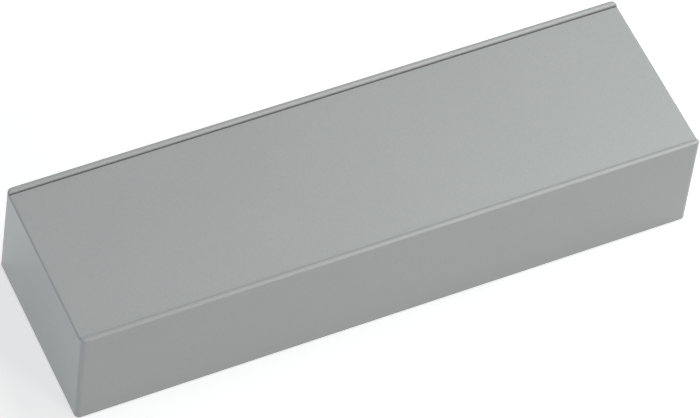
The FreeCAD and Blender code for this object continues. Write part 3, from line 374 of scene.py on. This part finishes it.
def new_group(name, inputs, outputs):
    """A shader node group with named sockets, and its two end nodes."""
    group = bpy.data.node_groups.new(name, "ShaderNodeTree")
    for label, kind, value in inputs:
        socket = group.interface.new_socket(name=label, in_out="INPUT", socket_type=kind)
        socket.default_value = value
    for label, kind in outputs:
        group.interface.new_socket(name=label, in_out="OUTPUT", socket_type=kind)
    return group, group.nodes.new("NodeGroupInput"), group.nodes.new("NodeGroupOutput")


def add(tree, kind, links=None, **settings):
    """Add a node, set its properties and feed its inputs with values or sockets."""
    node = tree.nodes.new(kind)
    for key, value in settings.items():
        setattr(node, key, value)
    for key, value in (links or {}).items():
        if isinstance(value, bpy.types.NodeSocket):
            tree.links.new(value, node.inputs[key])
        else:
            node.inputs[key].default_value = value
    return node


def maths(tree, operation, *values):
    """The result of one sum on values or sockets."""
    return add(tree, "ShaderNodeMath", dict(enumerate(values)), operation=operation).outputs[0]


def blend(tree, factor, first, second, mode="MIX"):
    """Mix two colours."""
    node = add(tree, "ShaderNodeMix", data_type="RGBA", blend_type=mode)
    for index, value in ((0, factor), (6, first), (7, second)):
        if isinstance(value, bpy.types.NodeSocket):
            tree.links.new(value, node.inputs[index])
        elif index == 0:
            node.inputs[0].default_value = value
        else:
            node.inputs[index].default_value = (*value, 1.0)
    return node.outputs[2]


def shaded(tree, tone, level):
    """A colour made lighter or darker by a level that varies."""
    grey = add(tree, "ShaderNodeCombineColor", {0: level, 1: level, 2: level}).outputs[0]
    return blend(tree, 1.0, tone, grey, "MULTIPLY")


def with_rubbing_grime_and_light(tree, rubbing_and_light, base, shade_and_grime, shade_and_grime_tone, edge, edge_tone):
    """Darken the hollows and then lighten the edges of a colour by a group's two masks: painted
    shade and a painted highlight on the cover paint, darker hollows and rubbed edges on the metal
    pieces.
    """
    with_shade_and_grime = blend(tree, maths(tree, "MULTIPLY", rubbing_and_light.outputs["Dirt"], shade_and_grime), base, shade_and_grime_tone)
    return blend(tree, maths(tree, "MULTIPLY", rubbing_and_light.outputs["Edge"], edge), with_shade_and_grime, edge_tone)


def ramp(tree, value, low, high, low_out=0.0, high_out=1.0):
    """Map a range of values to another, held at both ends."""
    node = add(tree, "ShaderNodeMapRange", {0: value, 1: low, 2: high, 3: low_out, 4: high_out})
    return node.outputs[0]


def grain_group():
    """Fine speckle, broad mottling and a height for bumps, in object space."""
    inputs = [("Speckle Size", "NodeSocketFloat", 0.2), ("Mottle Size", "NodeSocketFloat", 20.0),
              ("Stretch", "NodeSocketVector", (1.0, 1.0, 1.0))]
    outputs = [("Speckle", "NodeSocketFloat"), ("Mottle", "NodeSocketFloat"),
               ("Height", "NodeSocketFloat")]
    group, start, stop = new_group("Surface Grain", inputs, outputs)
    place = add(group, "ShaderNodeTexCoord").outputs["Object"]
    spread = add(group, "ShaderNodeVectorMath", {0: place, 1: start.outputs["Stretch"]},
                 operation="MULTIPLY").outputs[0]
    fine_scale = maths(group, "DIVIDE", MM_PER_METRE, start.outputs["Speckle Size"])
    broad_scale = maths(group, "DIVIDE", MM_PER_METRE, start.outputs["Mottle Size"])
    fine = add(group, "ShaderNodeTexNoise",
               {"Vector": spread, "Scale": fine_scale, "Detail": 2.0, "Roughness": 0.6})
    broad = add(group, "ShaderNodeTexNoise",
                {"Vector": spread, "Scale": broad_scale, "Detail": 4.0, "Roughness": 0.55})
    flakes = add(group, "ShaderNodeTexVoronoi", {"Vector": spread, "Scale": fine_scale})
    tint = maths(group, "MULTIPLY", flakes.outputs["Color"], 0.5)
    speckle = maths(group, "MULTIPLY_ADD", fine.outputs[0], 0.5, tint)
    group.links.new(speckle, stop.inputs["Speckle"])
    group.links.new(broad.outputs[0], stop.inputs["Mottle"])
    group.links.new(fine.outputs[0], stop.inputs["Height"])
    return group


def rubbing_and_light_group():
    """A mask of the edges and a mask of the hollows where shade falls, found by ambient
    occlusion, broken up by noise: on the cover paint they give a painted highlight and painted
    shade, on the metal pieces rubbed edges and darker hollows.
    """
    inputs = [("Edge Width", "NodeSocketFloat", 0.4), ("Dirt Reach", "NodeSocketFloat", 2.0),
              ("Break Up", "NodeSocketFloat", 3.0)]
    outputs = [("Edge", "NodeSocketFloat"), ("Dirt", "NodeSocketFloat")]
    group, start, stop = new_group("Edge Wear", inputs, outputs)
    place = add(group, "ShaderNodeTexCoord").outputs["Object"]
    scale = maths(group, "DIVIDE", MM_PER_METRE, start.outputs["Break Up"])
    noise = add(group, "ShaderNodeTexNoise",
                {"Vector": place, "Scale": scale, "Detail": 4.0, "Roughness": 0.65}).outputs[0]
    reach = maths(group, "MULTIPLY", start.outputs["Edge Width"], MM)
    bevel = add(group, "ShaderNodeBevel", {"Radius": reach}, samples=4)
    normal = add(group, "ShaderNodeNewGeometry").outputs["Normal"]
    turned = add(group, "ShaderNodeVectorMath", {0: bevel.outputs[0], 1: normal},
                 operation="DOT_PRODUCT").outputs["Value"]
    # Lightens the colour at the edges: a painted highlight on the cover paint, rubbed edges on
    # the metal pieces.
    edge = ramp(group, maths(group, "SUBTRACT", 1.0, turned), 0.01, 0.12)
    broken = ramp(group, maths(group, "MULTIPLY", edge, noise), 0.2, 0.5)
    group.links.new(broken, stop.inputs["Edge"])
    far = maths(group, "MULTIPLY", start.outputs["Dirt Reach"], MM)
    # Ambient occlusion finds the hollows where shade falls; darkening the colour there is painted
    # shade on the cover paint.
    open_part = add(group, "ShaderNodeAmbientOcclusion", {"Distance": far}, samples=6,
                    only_local=True).outputs["AO"]
    shut = maths(group, "SUBTRACT", 1.0, open_part)
    shade_and_grime = ramp(group, maths(group, "MULTIPLY", shut, maths(group, "ADD", noise, 0.5)), 0.2, 0.65)
    group.links.new(shade_and_grime, stop.inputs["Dirt"])
    return group


def turning_group():
    """Tool marks round an axis, and a mask of the faces that lie square to it."""
    inputs = [("Centre", "NodeSocketVector", (0.0, 0.0, 0.0)),
              ("Axis", "NodeSocketVector", (1.0, 0.0, 0.0)), ("Pitch", "NodeSocketFloat", 0.2)]
    outputs = [("Marks", "NodeSocketFloat"), ("Facing", "NodeSocketFloat")]
    group, start, stop = new_group("Turning Marks", inputs, outputs)
    place = add(group, "ShaderNodeTexCoord").outputs["Object"]
    away = add(group, "ShaderNodeVectorMath", {0: place, 1: start.outputs["Centre"]},
               operation="SUBTRACT").outputs[0]
    along = add(group, "ShaderNodeVectorMath", {0: away, 1: start.outputs["Axis"]},
                operation="DOT_PRODUCT").outputs["Value"]
    shift = add(group, "ShaderNodeVectorMath", {0: start.outputs["Axis"], "Scale": along},
                operation="SCALE").outputs[0]
    radial = add(group, "ShaderNodeVectorMath", {0: away, 1: shift}, operation="SUBTRACT")
    distance = add(group, "ShaderNodeVectorMath", {0: radial.outputs[0]},
                   operation="LENGTH").outputs["Value"]
    normal = add(group, "ShaderNodeNewGeometry").outputs["True Normal"]
    facing = add(group, "ShaderNodeVectorMath", {0: normal, 1: start.outputs["Axis"]},
                 operation="DOT_PRODUCT").outputs["Value"]
    flat = ramp(group, maths(group, "ABSOLUTE", facing), 0.9, 0.99)
    travel = add(group, "ShaderNodeMix", {0: flat, 2: along, 3: distance}, data_type="FLOAT")
    pitch = maths(group, "DIVIDE", MM_PER_METRE, start.outputs["Pitch"])
    turns = maths(group, "MULTIPLY", travel.outputs[0], pitch)
    rings = add(group, "ShaderNodeTexNoise", {"W": turns, "Scale": 1.0, "Detail": 3.0},
                noise_dimensions="1D").outputs[0]
    group.links.new(rings, stop.inputs["Marks"])
    group.links.new(flat, stop.inputs["Facing"])
    return group


def group_node(tree, name, links=None):
    """Place a shared group in a material, and make it the first time."""
    makers = {"Surface Grain": grain_group, "Edge Wear": rubbing_and_light_group,
              "Turning Marks": turning_group}
    shared = bpy.data.node_groups.get(name) or makers[name]()
    return add(tree, "ShaderNodeGroup", links, node_tree=shared)


def new_material(name, tone, metallic, roughness):
    """A material with its shader, and the shader's constant values."""
    material = bpy.data.materials.new(name)
    material.use_nodes = True
    tree = material.node_tree
    shader = tree.nodes["Principled BSDF"]
    shader.inputs["Base Color"].default_value = (*tone, 1.0)
    shader.inputs["Metallic"].default_value = metallic
    shader.inputs["Roughness"].default_value = roughness
    material.diffuse_color = (*tone, 1.0)
    return material, tree, shader


def bump(tree, shader, height, distance):
    """Relief of a height that varies from 0 to 1 over a distance."""
    node = add(tree, "ShaderNodeBump", {"Height": height, "Distance": distance, "Strength": 1.0})
    tree.links.new(node.outputs[0], shader.inputs["Normal"])


def finish_nodes(material, *names):
    """Give CAD nodes a finish in every one of their material slots."""
    for name in names:
        for slot in NODES[name].material_slots:
            slot.material = material


def scaled(tone, factor):
    """A lighter or darker colour."""
    return tuple(min(1.0, channel * factor) for channel in tone)


def paint_material(finish):
    """Silver-grey stove paint with fine metal flakes and a faint orange peel, with painted shade
    in the creases and a painted highlight on the edges.
    """
    material, tree, shader = new_material("cover_paint", finish.paint, 0.2,
                                          finish.paint_roughness)
    shader.inputs["Coat Weight"].default_value = 0.5
    shader.inputs["Coat Roughness"].default_value = 0.24
    grain = group_node(tree, "Surface Grain", {"Speckle Size": 0.28, "Mottle Size": 38.0})
    rubbing_and_light = group_node(tree, "Edge Wear", {"Edge Width": 0.35, "Dirt Reach": 0.2, "Break Up": 6.0})
    speck = ramp(tree, grain.outputs["Speckle"], 0.2, 0.8, 0.93, 1.07)
    mottle = ramp(tree, grain.outputs["Mottle"], 0.3, 0.7, 0.985, 1.015)
    flaked = shaded(tree, finish.paint[:], maths(tree, "MULTIPLY", speck, mottle))
    # Painted shade darkens the creases at the feet of the ribs towards near black, and a painted
    # highlight lightens the edges to a paler paint.
    tree.links.new(with_rubbing_grime_and_light(tree, rubbing_and_light, flaked, 0.75, (0.09, 0.09, 0.088), 0.35,
                        scaled(finish.paint, 1.35)), shader.inputs["Base Color"])
    rough = ramp(tree, grain.outputs["Mottle"], 0.3, 0.7, finish.paint_roughness - 0.03,
                 finish.paint_roughness + 0.04)
    tree.links.new(rough, shader.inputs["Roughness"])
    peel = maths(tree, "MULTIPLY_ADD", grain.outputs["Mottle"], 4.0, grain.outputs["Height"])
    bump(tree, shader, peel, 0.012 * MM)
    return material


def casting_material(finish):
    """Shot-blasted cast aluminium, brighter where it is turned or faced."""
    material, tree, shader = new_material("cast_aluminium", finish.casting, 0.85, 0.5)
    grain = group_node(tree, "Surface Grain", {"Speckle Size": 0.4, "Mottle Size": 9.0})
    rubbing_and_light = group_node(tree, "Edge Wear", {"Edge Width": 0.5, "Dirt Reach": 4.0, "Break Up": 3.0})
    marks = group_node(tree, "Turning Marks", {"Centre": ON_BARREL, "Axis": ALONG_BARREL,
                                               "Pitch": 0.35})
    speck = ramp(tree, grain.outputs["Speckle"], 0.2, 0.8, 0.72, 1.1)
    mottle = ramp(tree, grain.outputs["Mottle"], 0.3, 0.7, 0.9, 1.08)
    cast = shaded(tree, finish.casting[:], maths(tree, "MULTIPLY", speck, mottle))
    faced = shaded(tree, scaled(finish.casting, 1.35),
                   ramp(tree, marks.outputs["Marks"], 0.3, 0.7, 0.9, 1.15))
    either = blend(tree, marks.outputs["Facing"], cast, faced)
    # The hollows are darkened towards near black and the edges lightened towards pale grey by the
    # group's masks.
    tree.links.new(with_rubbing_grime_and_light(tree, rubbing_and_light, either, 0.6, (0.09, 0.085, 0.08), 0.5, (0.8, 0.8, 0.8)),
                   shader.inputs["Base Color"])
    tree.links.new(ramp(tree, marks.outputs["Facing"], 0.0, 1.0, 0.55, 0.28),
                   shader.inputs["Roughness"])
    lines = maths(tree, "MULTIPLY", marks.outputs["Marks"], 0.25)
    relief = add(tree, "ShaderNodeMix", {0: marks.outputs["Facing"], 2: grain.outputs["Height"],
                                         3: lines}, data_type="FLOAT")
    bump(tree, shader, relief.outputs[0], 0.09 * MM)
    return material


def turned_material(name, tone, centre, axis, metallic=1.0, roughness=0.3, pitch=0.2,
                    tarnish=0.25):
    """Turned metal: tool marks round an axis, tarnish in the hollows and rubbed edges."""
    material, tree, shader = new_material(name, tone, metallic, roughness)
    grain = group_node(tree, "Surface Grain", {"Speckle Size": 0.15, "Mottle Size": 5.0})
    rubbing_and_light = group_node(tree, "Edge Wear", {"Edge Width": 0.2, "Dirt Reach": 1.2, "Break Up": 1.5})
    marks = group_node(tree, "Turning Marks", {"Centre": centre, "Axis": axis, "Pitch": pitch})
    level = maths(tree, "MULTIPLY", ramp(tree, marks.outputs["Marks"], 0.3, 0.7, 0.86, 1.1),
                  ramp(tree, grain.outputs["Mottle"], 0.3, 0.7, 0.9, 1.06))
    tree.links.new(with_rubbing_grime_and_light(tree, rubbing_and_light, shaded(tree, tone[:], level), tarnish, scaled(tone, 0.3),
                        0.5, scaled(tone, 1.4)), shader.inputs["Base Color"])
    tree.links.new(ramp(tree, grain.outputs["Mottle"], 0.3, 0.7, roughness - 0.05,
                        roughness + 0.09), shader.inputs["Roughness"])
    relief = maths(tree, "ADD", marks.outputs["Marks"],
                   maths(tree, "MULTIPLY", grain.outputs["Height"], 0.3))
    bump(tree, shader, relief, 0.02 * MM)
    return material


def rubber_material(finish):
    """Black rubber with a dull bloom and a faint grain."""
    material, tree, shader = new_material("seal_rubber", finish.rubber, 0.0, 0.6)
    grain = group_node(tree, "Surface Grain", {"Speckle Size": 0.12, "Mottle Size": 2.0})
    bloom = ramp(tree, grain.outputs["Mottle"], 0.45, 0.75, 0.0, 0.25)
    tree.links.new(blend(tree, bloom, finish.rubber[:], (0.07, 0.07, 0.072)),
                   shader.inputs["Base Color"])
    tree.links.new(ramp(tree, grain.outputs["Speckle"], 0.2, 0.8, 0.5, 0.7),
                   shader.inputs["Roughness"])
    bump(tree, shader, grain.outputs["Height"], 0.02 * MM)
    return material


def flat_steel_material(finish):
    """Zinc-plated sheet and screws: fine drawn lines with cloudy plating."""
    material, tree, shader = new_material("plated_steel", finish.zinc, 1.0, 0.36)
    grain = group_node(tree, "Surface Grain", {"Speckle Size": 0.4, "Mottle Size": 3.5,
                                               "Stretch": (1.0, 0.12, 1.0)})
    rubbing_and_light = group_node(tree, "Edge Wear", {"Edge Width": 0.25, "Dirt Reach": 1.5, "Break Up": 2.0})
    cloud = blend(tree, ramp(tree, grain.outputs["Mottle"], 0.35, 0.65), finish.zinc[:],
                  (0.50, 0.52, 0.55))
    lined = shaded(tree, cloud, ramp(tree, grain.outputs["Speckle"], 0.2, 0.8, 0.86, 1.08))
    # The hollows are darkened towards a dark brown-grey and the edges lightened towards pale grey
    # by the group's masks.
    tree.links.new(with_rubbing_grime_and_light(tree, rubbing_and_light, lined, 0.4, (0.2, 0.19, 0.17), 0.4, (0.8, 0.8, 0.8)),
                   shader.inputs["Base Color"])
    tree.links.new(ramp(tree, grain.outputs["Mottle"], 0.3, 0.7, 0.3, 0.45),
                   shader.inputs["Roughness"])
    bump(tree, shader, grain.outputs["Height"], 0.02 * MM)
    return material


class CLOSER_OT_cover(bpy.types.Operator):
    """Make the painted cover with its ribs, creases, hollow and notch"""
    bl_idname = "closer.cover"
    bl_label = "Cover"

    def execute(self, context):
        shell = ShellForm(context.scene.closer_cover)
        form = bmesh.new()
        outer = outer_rows(form, shell)
        inner = inner_rows(form, shell)
        skin(form, outer)
        skin(form, inner)
        rim(form, outer, inner)
        for index in (0, -1):
            form.faces.new(outer[index])
            form.faces.new(inner[index])
        bmesh.ops.dissolve_degenerate(form, dist=1e-7, edges=form.edges)
        cover = mesh_object("cover_shell", form)
        cutter = notch_cutter(shell)
        apply_modifier(cover, "BOOLEAN", operation="DIFFERENCE", object=cutter, solver="EXACT")
        bpy.data.objects.remove(cutter)
        smooth_by_angle(cover, SMOOTH_ANGLE)
        cover.data.materials.append(paint_material(context.scene.closer_finish))
        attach(cover, "cover")
        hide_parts("cover")
        return {"FINISHED"}


class CLOSER_OT_housing(bpy.types.Operator):
    """Finish the cast housing"""
    bl_idname = "closer.housing"
    bl_label = "Housing"

    def execute(self, context):
        finish_nodes(casting_material(context.scene.closer_finish), "housing")
        return {"FINISHED"}


class CLOSER_OT_plugs(bpy.types.Operator):
    """Finish the end plugs, the bearing caps and the plugs of the oil ways"""
    bl_idname = "closer.plugs"
    bl_label = "Plugs and caps"

    def execute(self, context):
        tone = context.scene.closer_finish.zinc
        barrel = turned_material("plated_plugs", tone, ON_BARREL, ALONG_BARREL, roughness=0.34)
        finish_nodes(barrel, "damping_end_plug", "spring_end_plug")
        caps = turned_material("plated_caps", tone, ON_SPINDLE, ALONG_SPINDLE, roughness=0.34)
        finish_nodes(caps, "upper_bearing_cap", "lower_bearing_cap", "oil_way_plugs")
        return {"FINISHED"}


class CLOSER_OT_bearings(bpy.types.Operator):
    """Finish the needle bearings, the thrust washers and the check valve's ball"""
    bl_idname = "closer.bearings"
    bl_label = "Bearings"

    def execute(self, context):
        tone = context.scene.closer_finish.ground_steel
        ground = turned_material("bearing_steel", tone, ON_SPINDLE, ALONG_SPINDLE,
                                 roughness=0.2, pitch=0.1)
        finish_nodes(ground, "upper_bearing_cup", "upper_bearing_needles", "lower_bearing_cup",
                     "lower_bearing_needles", "upper_thrust_washer", "lower_thrust_washer",
                     "check_valve_ball")
        return {"FINISHED"}


class CLOSER_OT_drive(bpy.types.Operator):
    """Finish the spindle with its pinion, the piston with its rack, and the spring seat"""
    bl_idname = "closer.drive"
    bl_label = "Spindle and piston"

    def execute(self, context):
        tone = context.scene.closer_finish.hard_steel
        spindle = turned_material("spindle_steel", tone, ON_SPINDLE, ALONG_SPINDLE,
                                  roughness=0.32, tarnish=0.6)
        finish_nodes(spindle, "spindle")
        piston = turned_material("piston_steel", tone, ON_BARREL, ALONG_BARREL, roughness=0.3,
                                 tarnish=0.6)
        finish_nodes(piston, "piston", "spring_seat", "check_valve_retainer")
        return {"FINISHED"}


def coil_part(name, parting, side):
    """The closing spring's turns on one side of a plane across its axis."""
    spring = NODES["closing_spring"]
    form = bmesh.new()
    form.from_mesh(spring.data)
    form.transform(spring.matrix_world)
    bmesh.ops.remove_doubles(form, verts=form.verts, dist=1e-6)
    everything = form.verts[:] + form.edges[:] + form.faces[:]
    cut = bmesh.ops.bisect_plane(form, geom=everything, plane_co=(parting, 0, 0),
                                 plane_no=(side, 0, 0), clear_outer=True)
    open_edges = [edge for edge in cut["geom_cut"] if isinstance(edge, bmesh.types.BMEdge)]
    bmesh.ops.holes_fill(form, edges=open_edges, sides=0)
    part = mesh_object(name, form)
    smooth_by_angle(part, SMOOTH_ANGLE)
    return part


class CLOSER_OT_springs(bpy.types.Operator):
    """Make the closing spring so that it shortens, and finish the ring of the adjusting screw"""
    bl_idname = "closer.springs"
    bl_label = "Springs"

    def execute(self, context):
        tone = context.scene.closer_finish.spring_steel
        steel = turned_material("spring_steel", tone, ON_BARREL, ALONG_BARREL, metallic=0.9,
                                roughness=0.36, pitch=0.6)
        low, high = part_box("closing_spring")
        parting = low.x + context.scene.closer_cover.spring_parting
        seat_end = coil_part("closing_spring_seat_end", parting, 1)
        piston_end = coil_part("closing_spring_piston_end", parting, -1)
        for part in (seat_end, piston_end):
            part.data.materials.append(steel)
            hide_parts("closing_spring")
        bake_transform(seat_end)
        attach(piston_end, "housing")
        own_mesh(piston_end)
        finish_nodes(steel, "adjusting_screw_retaining_ring")
        return {"FINISHED"}


class CLOSER_OT_screws(bpy.types.Operator):
    """Finish the metering valve screws and the power adjusting screw"""
    bl_idname = "closer.screws"
    bl_label = "Adjusting screws"

    def execute(self, context):
        finish = context.scene.closer_finish
        low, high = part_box("closing_speed_valve")
        brass = turned_material("valve_brass", finish.brass, (low + high) / 2, ALONG_SPINDLE,
                                roughness=0.26, pitch=0.12)
        finish_nodes(brass, "closing_speed_valve", "latching_speed_valve")
        steel = turned_material("adjuster_steel", finish.zinc, ON_BARREL, ALONG_BARREL,
                                roughness=0.3)
        finish_nodes(steel, "power_adjusting_screw")
        return {"FINISHED"}


class CLOSER_OT_seals(bpy.types.Operator):
    """Finish every sealing ring"""
    bl_idname = "closer.seals"
    bl_label = "Seals"

    def execute(self, context):
        finish_nodes(rubber_material(context.scene.closer_finish), "end_plug_seals",
                     "bearing_cap_seals", "spindle_seal", "adjusting_screw_seal",
                     "closing_speed_valve_seal", "latching_speed_valve_seal")
        return {"FINISHED"}


class CLOSER_OT_clips(bpy.types.Operator):
    """Finish the spring clips that hold the cover, and their screws"""
    bl_idname = "closer.clips"
    bl_label = "Clips"

    def execute(self, context):
        finish_nodes(flat_steel_material(context.scene.closer_finish), "spring_side_clip",
                     "damping_side_clip", "clip_screws")
        return {"FINISHED"}


def soft_lamp(name, place, target, size, power, tint):
    """A large rectangular area lamp that faces a point."""
    data = bpy.data.lights.new(name, "AREA")
    data.shape = "RECTANGLE"
    data.size, data.size_y = size
    data.energy = power
    data.color = tint
    lamp = bpy.data.objects.new(name, data)
    lamp.location = place
    lamp.rotation_euler = (Vector(target) - Vector(place)).to_track_quat("-Z", "Y").to_euler()
    bpy.context.scene.collection.objects.link(lamp)


def looked_at(tree):
    """1 where the camera, a reflection or glass looks straight at the stage, otherwise 0."""
    path = add(tree, "ShaderNodeLightPath").outputs
    either = maths(tree, "MAXIMUM", path["Is Camera Ray"], path["Is Glossy Ray"])
    return maths(tree, "MAXIMUM", either, path["Is Transmission Ray"])


def floor_material(tone):
    """Pale floor that shows white to the camera outside the object's shadow."""
    material, tree, shader = new_material("stage_floor", tone, 0.0, 0.9)
    shader.inputs["Emission Color"].default_value = (1.0, 1.0, 1.0, 1.0)
    tree.links.new(maths(tree, "MULTIPLY", looked_at(tree), FLOOR_GLOW),
                   shader.inputs["Emission Strength"])
    grain = group_node(tree, "Surface Grain", {"Speckle Size": 1.5, "Mottle Size": 60.0})
    level = ramp(tree, grain.outputs["Mottle"], 0.3, 0.7, 0.995, 1.0)
    tree.links.new(shaded(tree, tone[:], level), shader.inputs["Base Color"])
    return material


def pale_surround(strength):
    """A plain surround that is white to the camera and in reflections."""
    world = bpy.data.worlds.new("surround")
    bpy.context.scene.world = world
    world.use_nodes = True
    tree = world.node_tree
    background = tree.nodes["Background"]
    background.inputs["Color"].default_value = (1.0, 1.0, 1.0, 1.0)
    level = add(tree, "ShaderNodeMix", {0: looked_at(tree), 2: strength, 3: 1.0},
                data_type="FLOAT")
    tree.links.new(level.outputs[0], background.inputs["Strength"])


class CLOSER_OT_stage(bpy.types.Operator):
    """Set the floor, the lamps and the camera"""
    bl_idname = "closer.stage"
    bl_label = "Stage"

    def execute(self, context):
        stage = context.scene.closer_stage
        form = bmesh.new()
        reach = stage.reach
        corners = [form.verts.new((x, y, 0.0)) for x, y in
                   ((-reach, -reach), (reach, -reach), (reach, reach), (-reach, reach))]
        form.faces.new(corners)
        floor = mesh_object("stage_floor", form)
        floor.data.materials.append(floor_material(stage.floor))
        pale_surround(stage.surround)
        for name, place, target, size, tint in LAMPS:
            soft_lamp(name, place, target, size, getattr(stage, name), tint)
        data = bpy.data.cameras.new("camera")
        data.lens = stage.lens
        data.sensor_width = SENSOR_WIDTH_MM
        data.clip_start, data.clip_end = CAMERA_CLIP
        camera = bpy.data.objects.new("camera", data)
        camera.location = CAMERA_PLACE
        camera.rotation_euler = Euler(CAMERA_TURN, "XYZ")
        context.scene.collection.objects.link(camera)
        context.scene.camera = camera
        context.scene.view_settings.view_transform = "Standard"
        return {"FINISHED"}


OPERATORS = (CLOSER_OT_cover, CLOSER_OT_housing, CLOSER_OT_plugs, CLOSER_OT_bearings,
             CLOSER_OT_drive, CLOSER_OT_springs, CLOSER_OT_screws, CLOSER_OT_seals,
             CLOSER_OT_clips, CLOSER_OT_stage)


class CLOSER_PT_panel(bpy.types.Panel):
    """Sizes, finishes and steps of the door closer"""
    bl_idname = "CLOSER_PT_panel"
    bl_label = "Door Closer"
    bl_space_type = "VIEW_3D"
    bl_region_type = "UI"
    bl_category = "Door Closer"

    def draw(self, context):
        scene = context.scene
        for settings in (scene.closer_cover, scene.closer_finish, scene.closer_stage):
            box = self.layout.box()
            for key in settings.__annotations__:
                box.prop(settings, key)
        for operator in OPERATORS:
            self.layout.operator(operator.bl_idname)


SETTINGS = {"closer_cover": CloserCover, "closer_finish": CloserFinish,
            "closer_stage": CloserStage}


def register():
    for cls in (*SETTINGS.values(), *OPERATORS, CLOSER_PT_panel):
        bpy.utils.register_class(cls)
    for name, cls in SETTINGS.items():
        setattr(bpy.types.Scene, name, PointerProperty(type=cls))


def unregister():
    for name in SETTINGS:
        delattr(bpy.types.Scene, name)
    for cls in reversed((*SETTINGS.values(), *OPERATORS, CLOSER_PT_panel)):
        bpy.utils.unregister_class(cls)


def main():
    register()
    for operator in OPERATORS:
        group, name = operator.bl_idname.split(".")
        getattr(getattr(bpy.ops, group), name)()


if __name__ == "__main__":
    main()
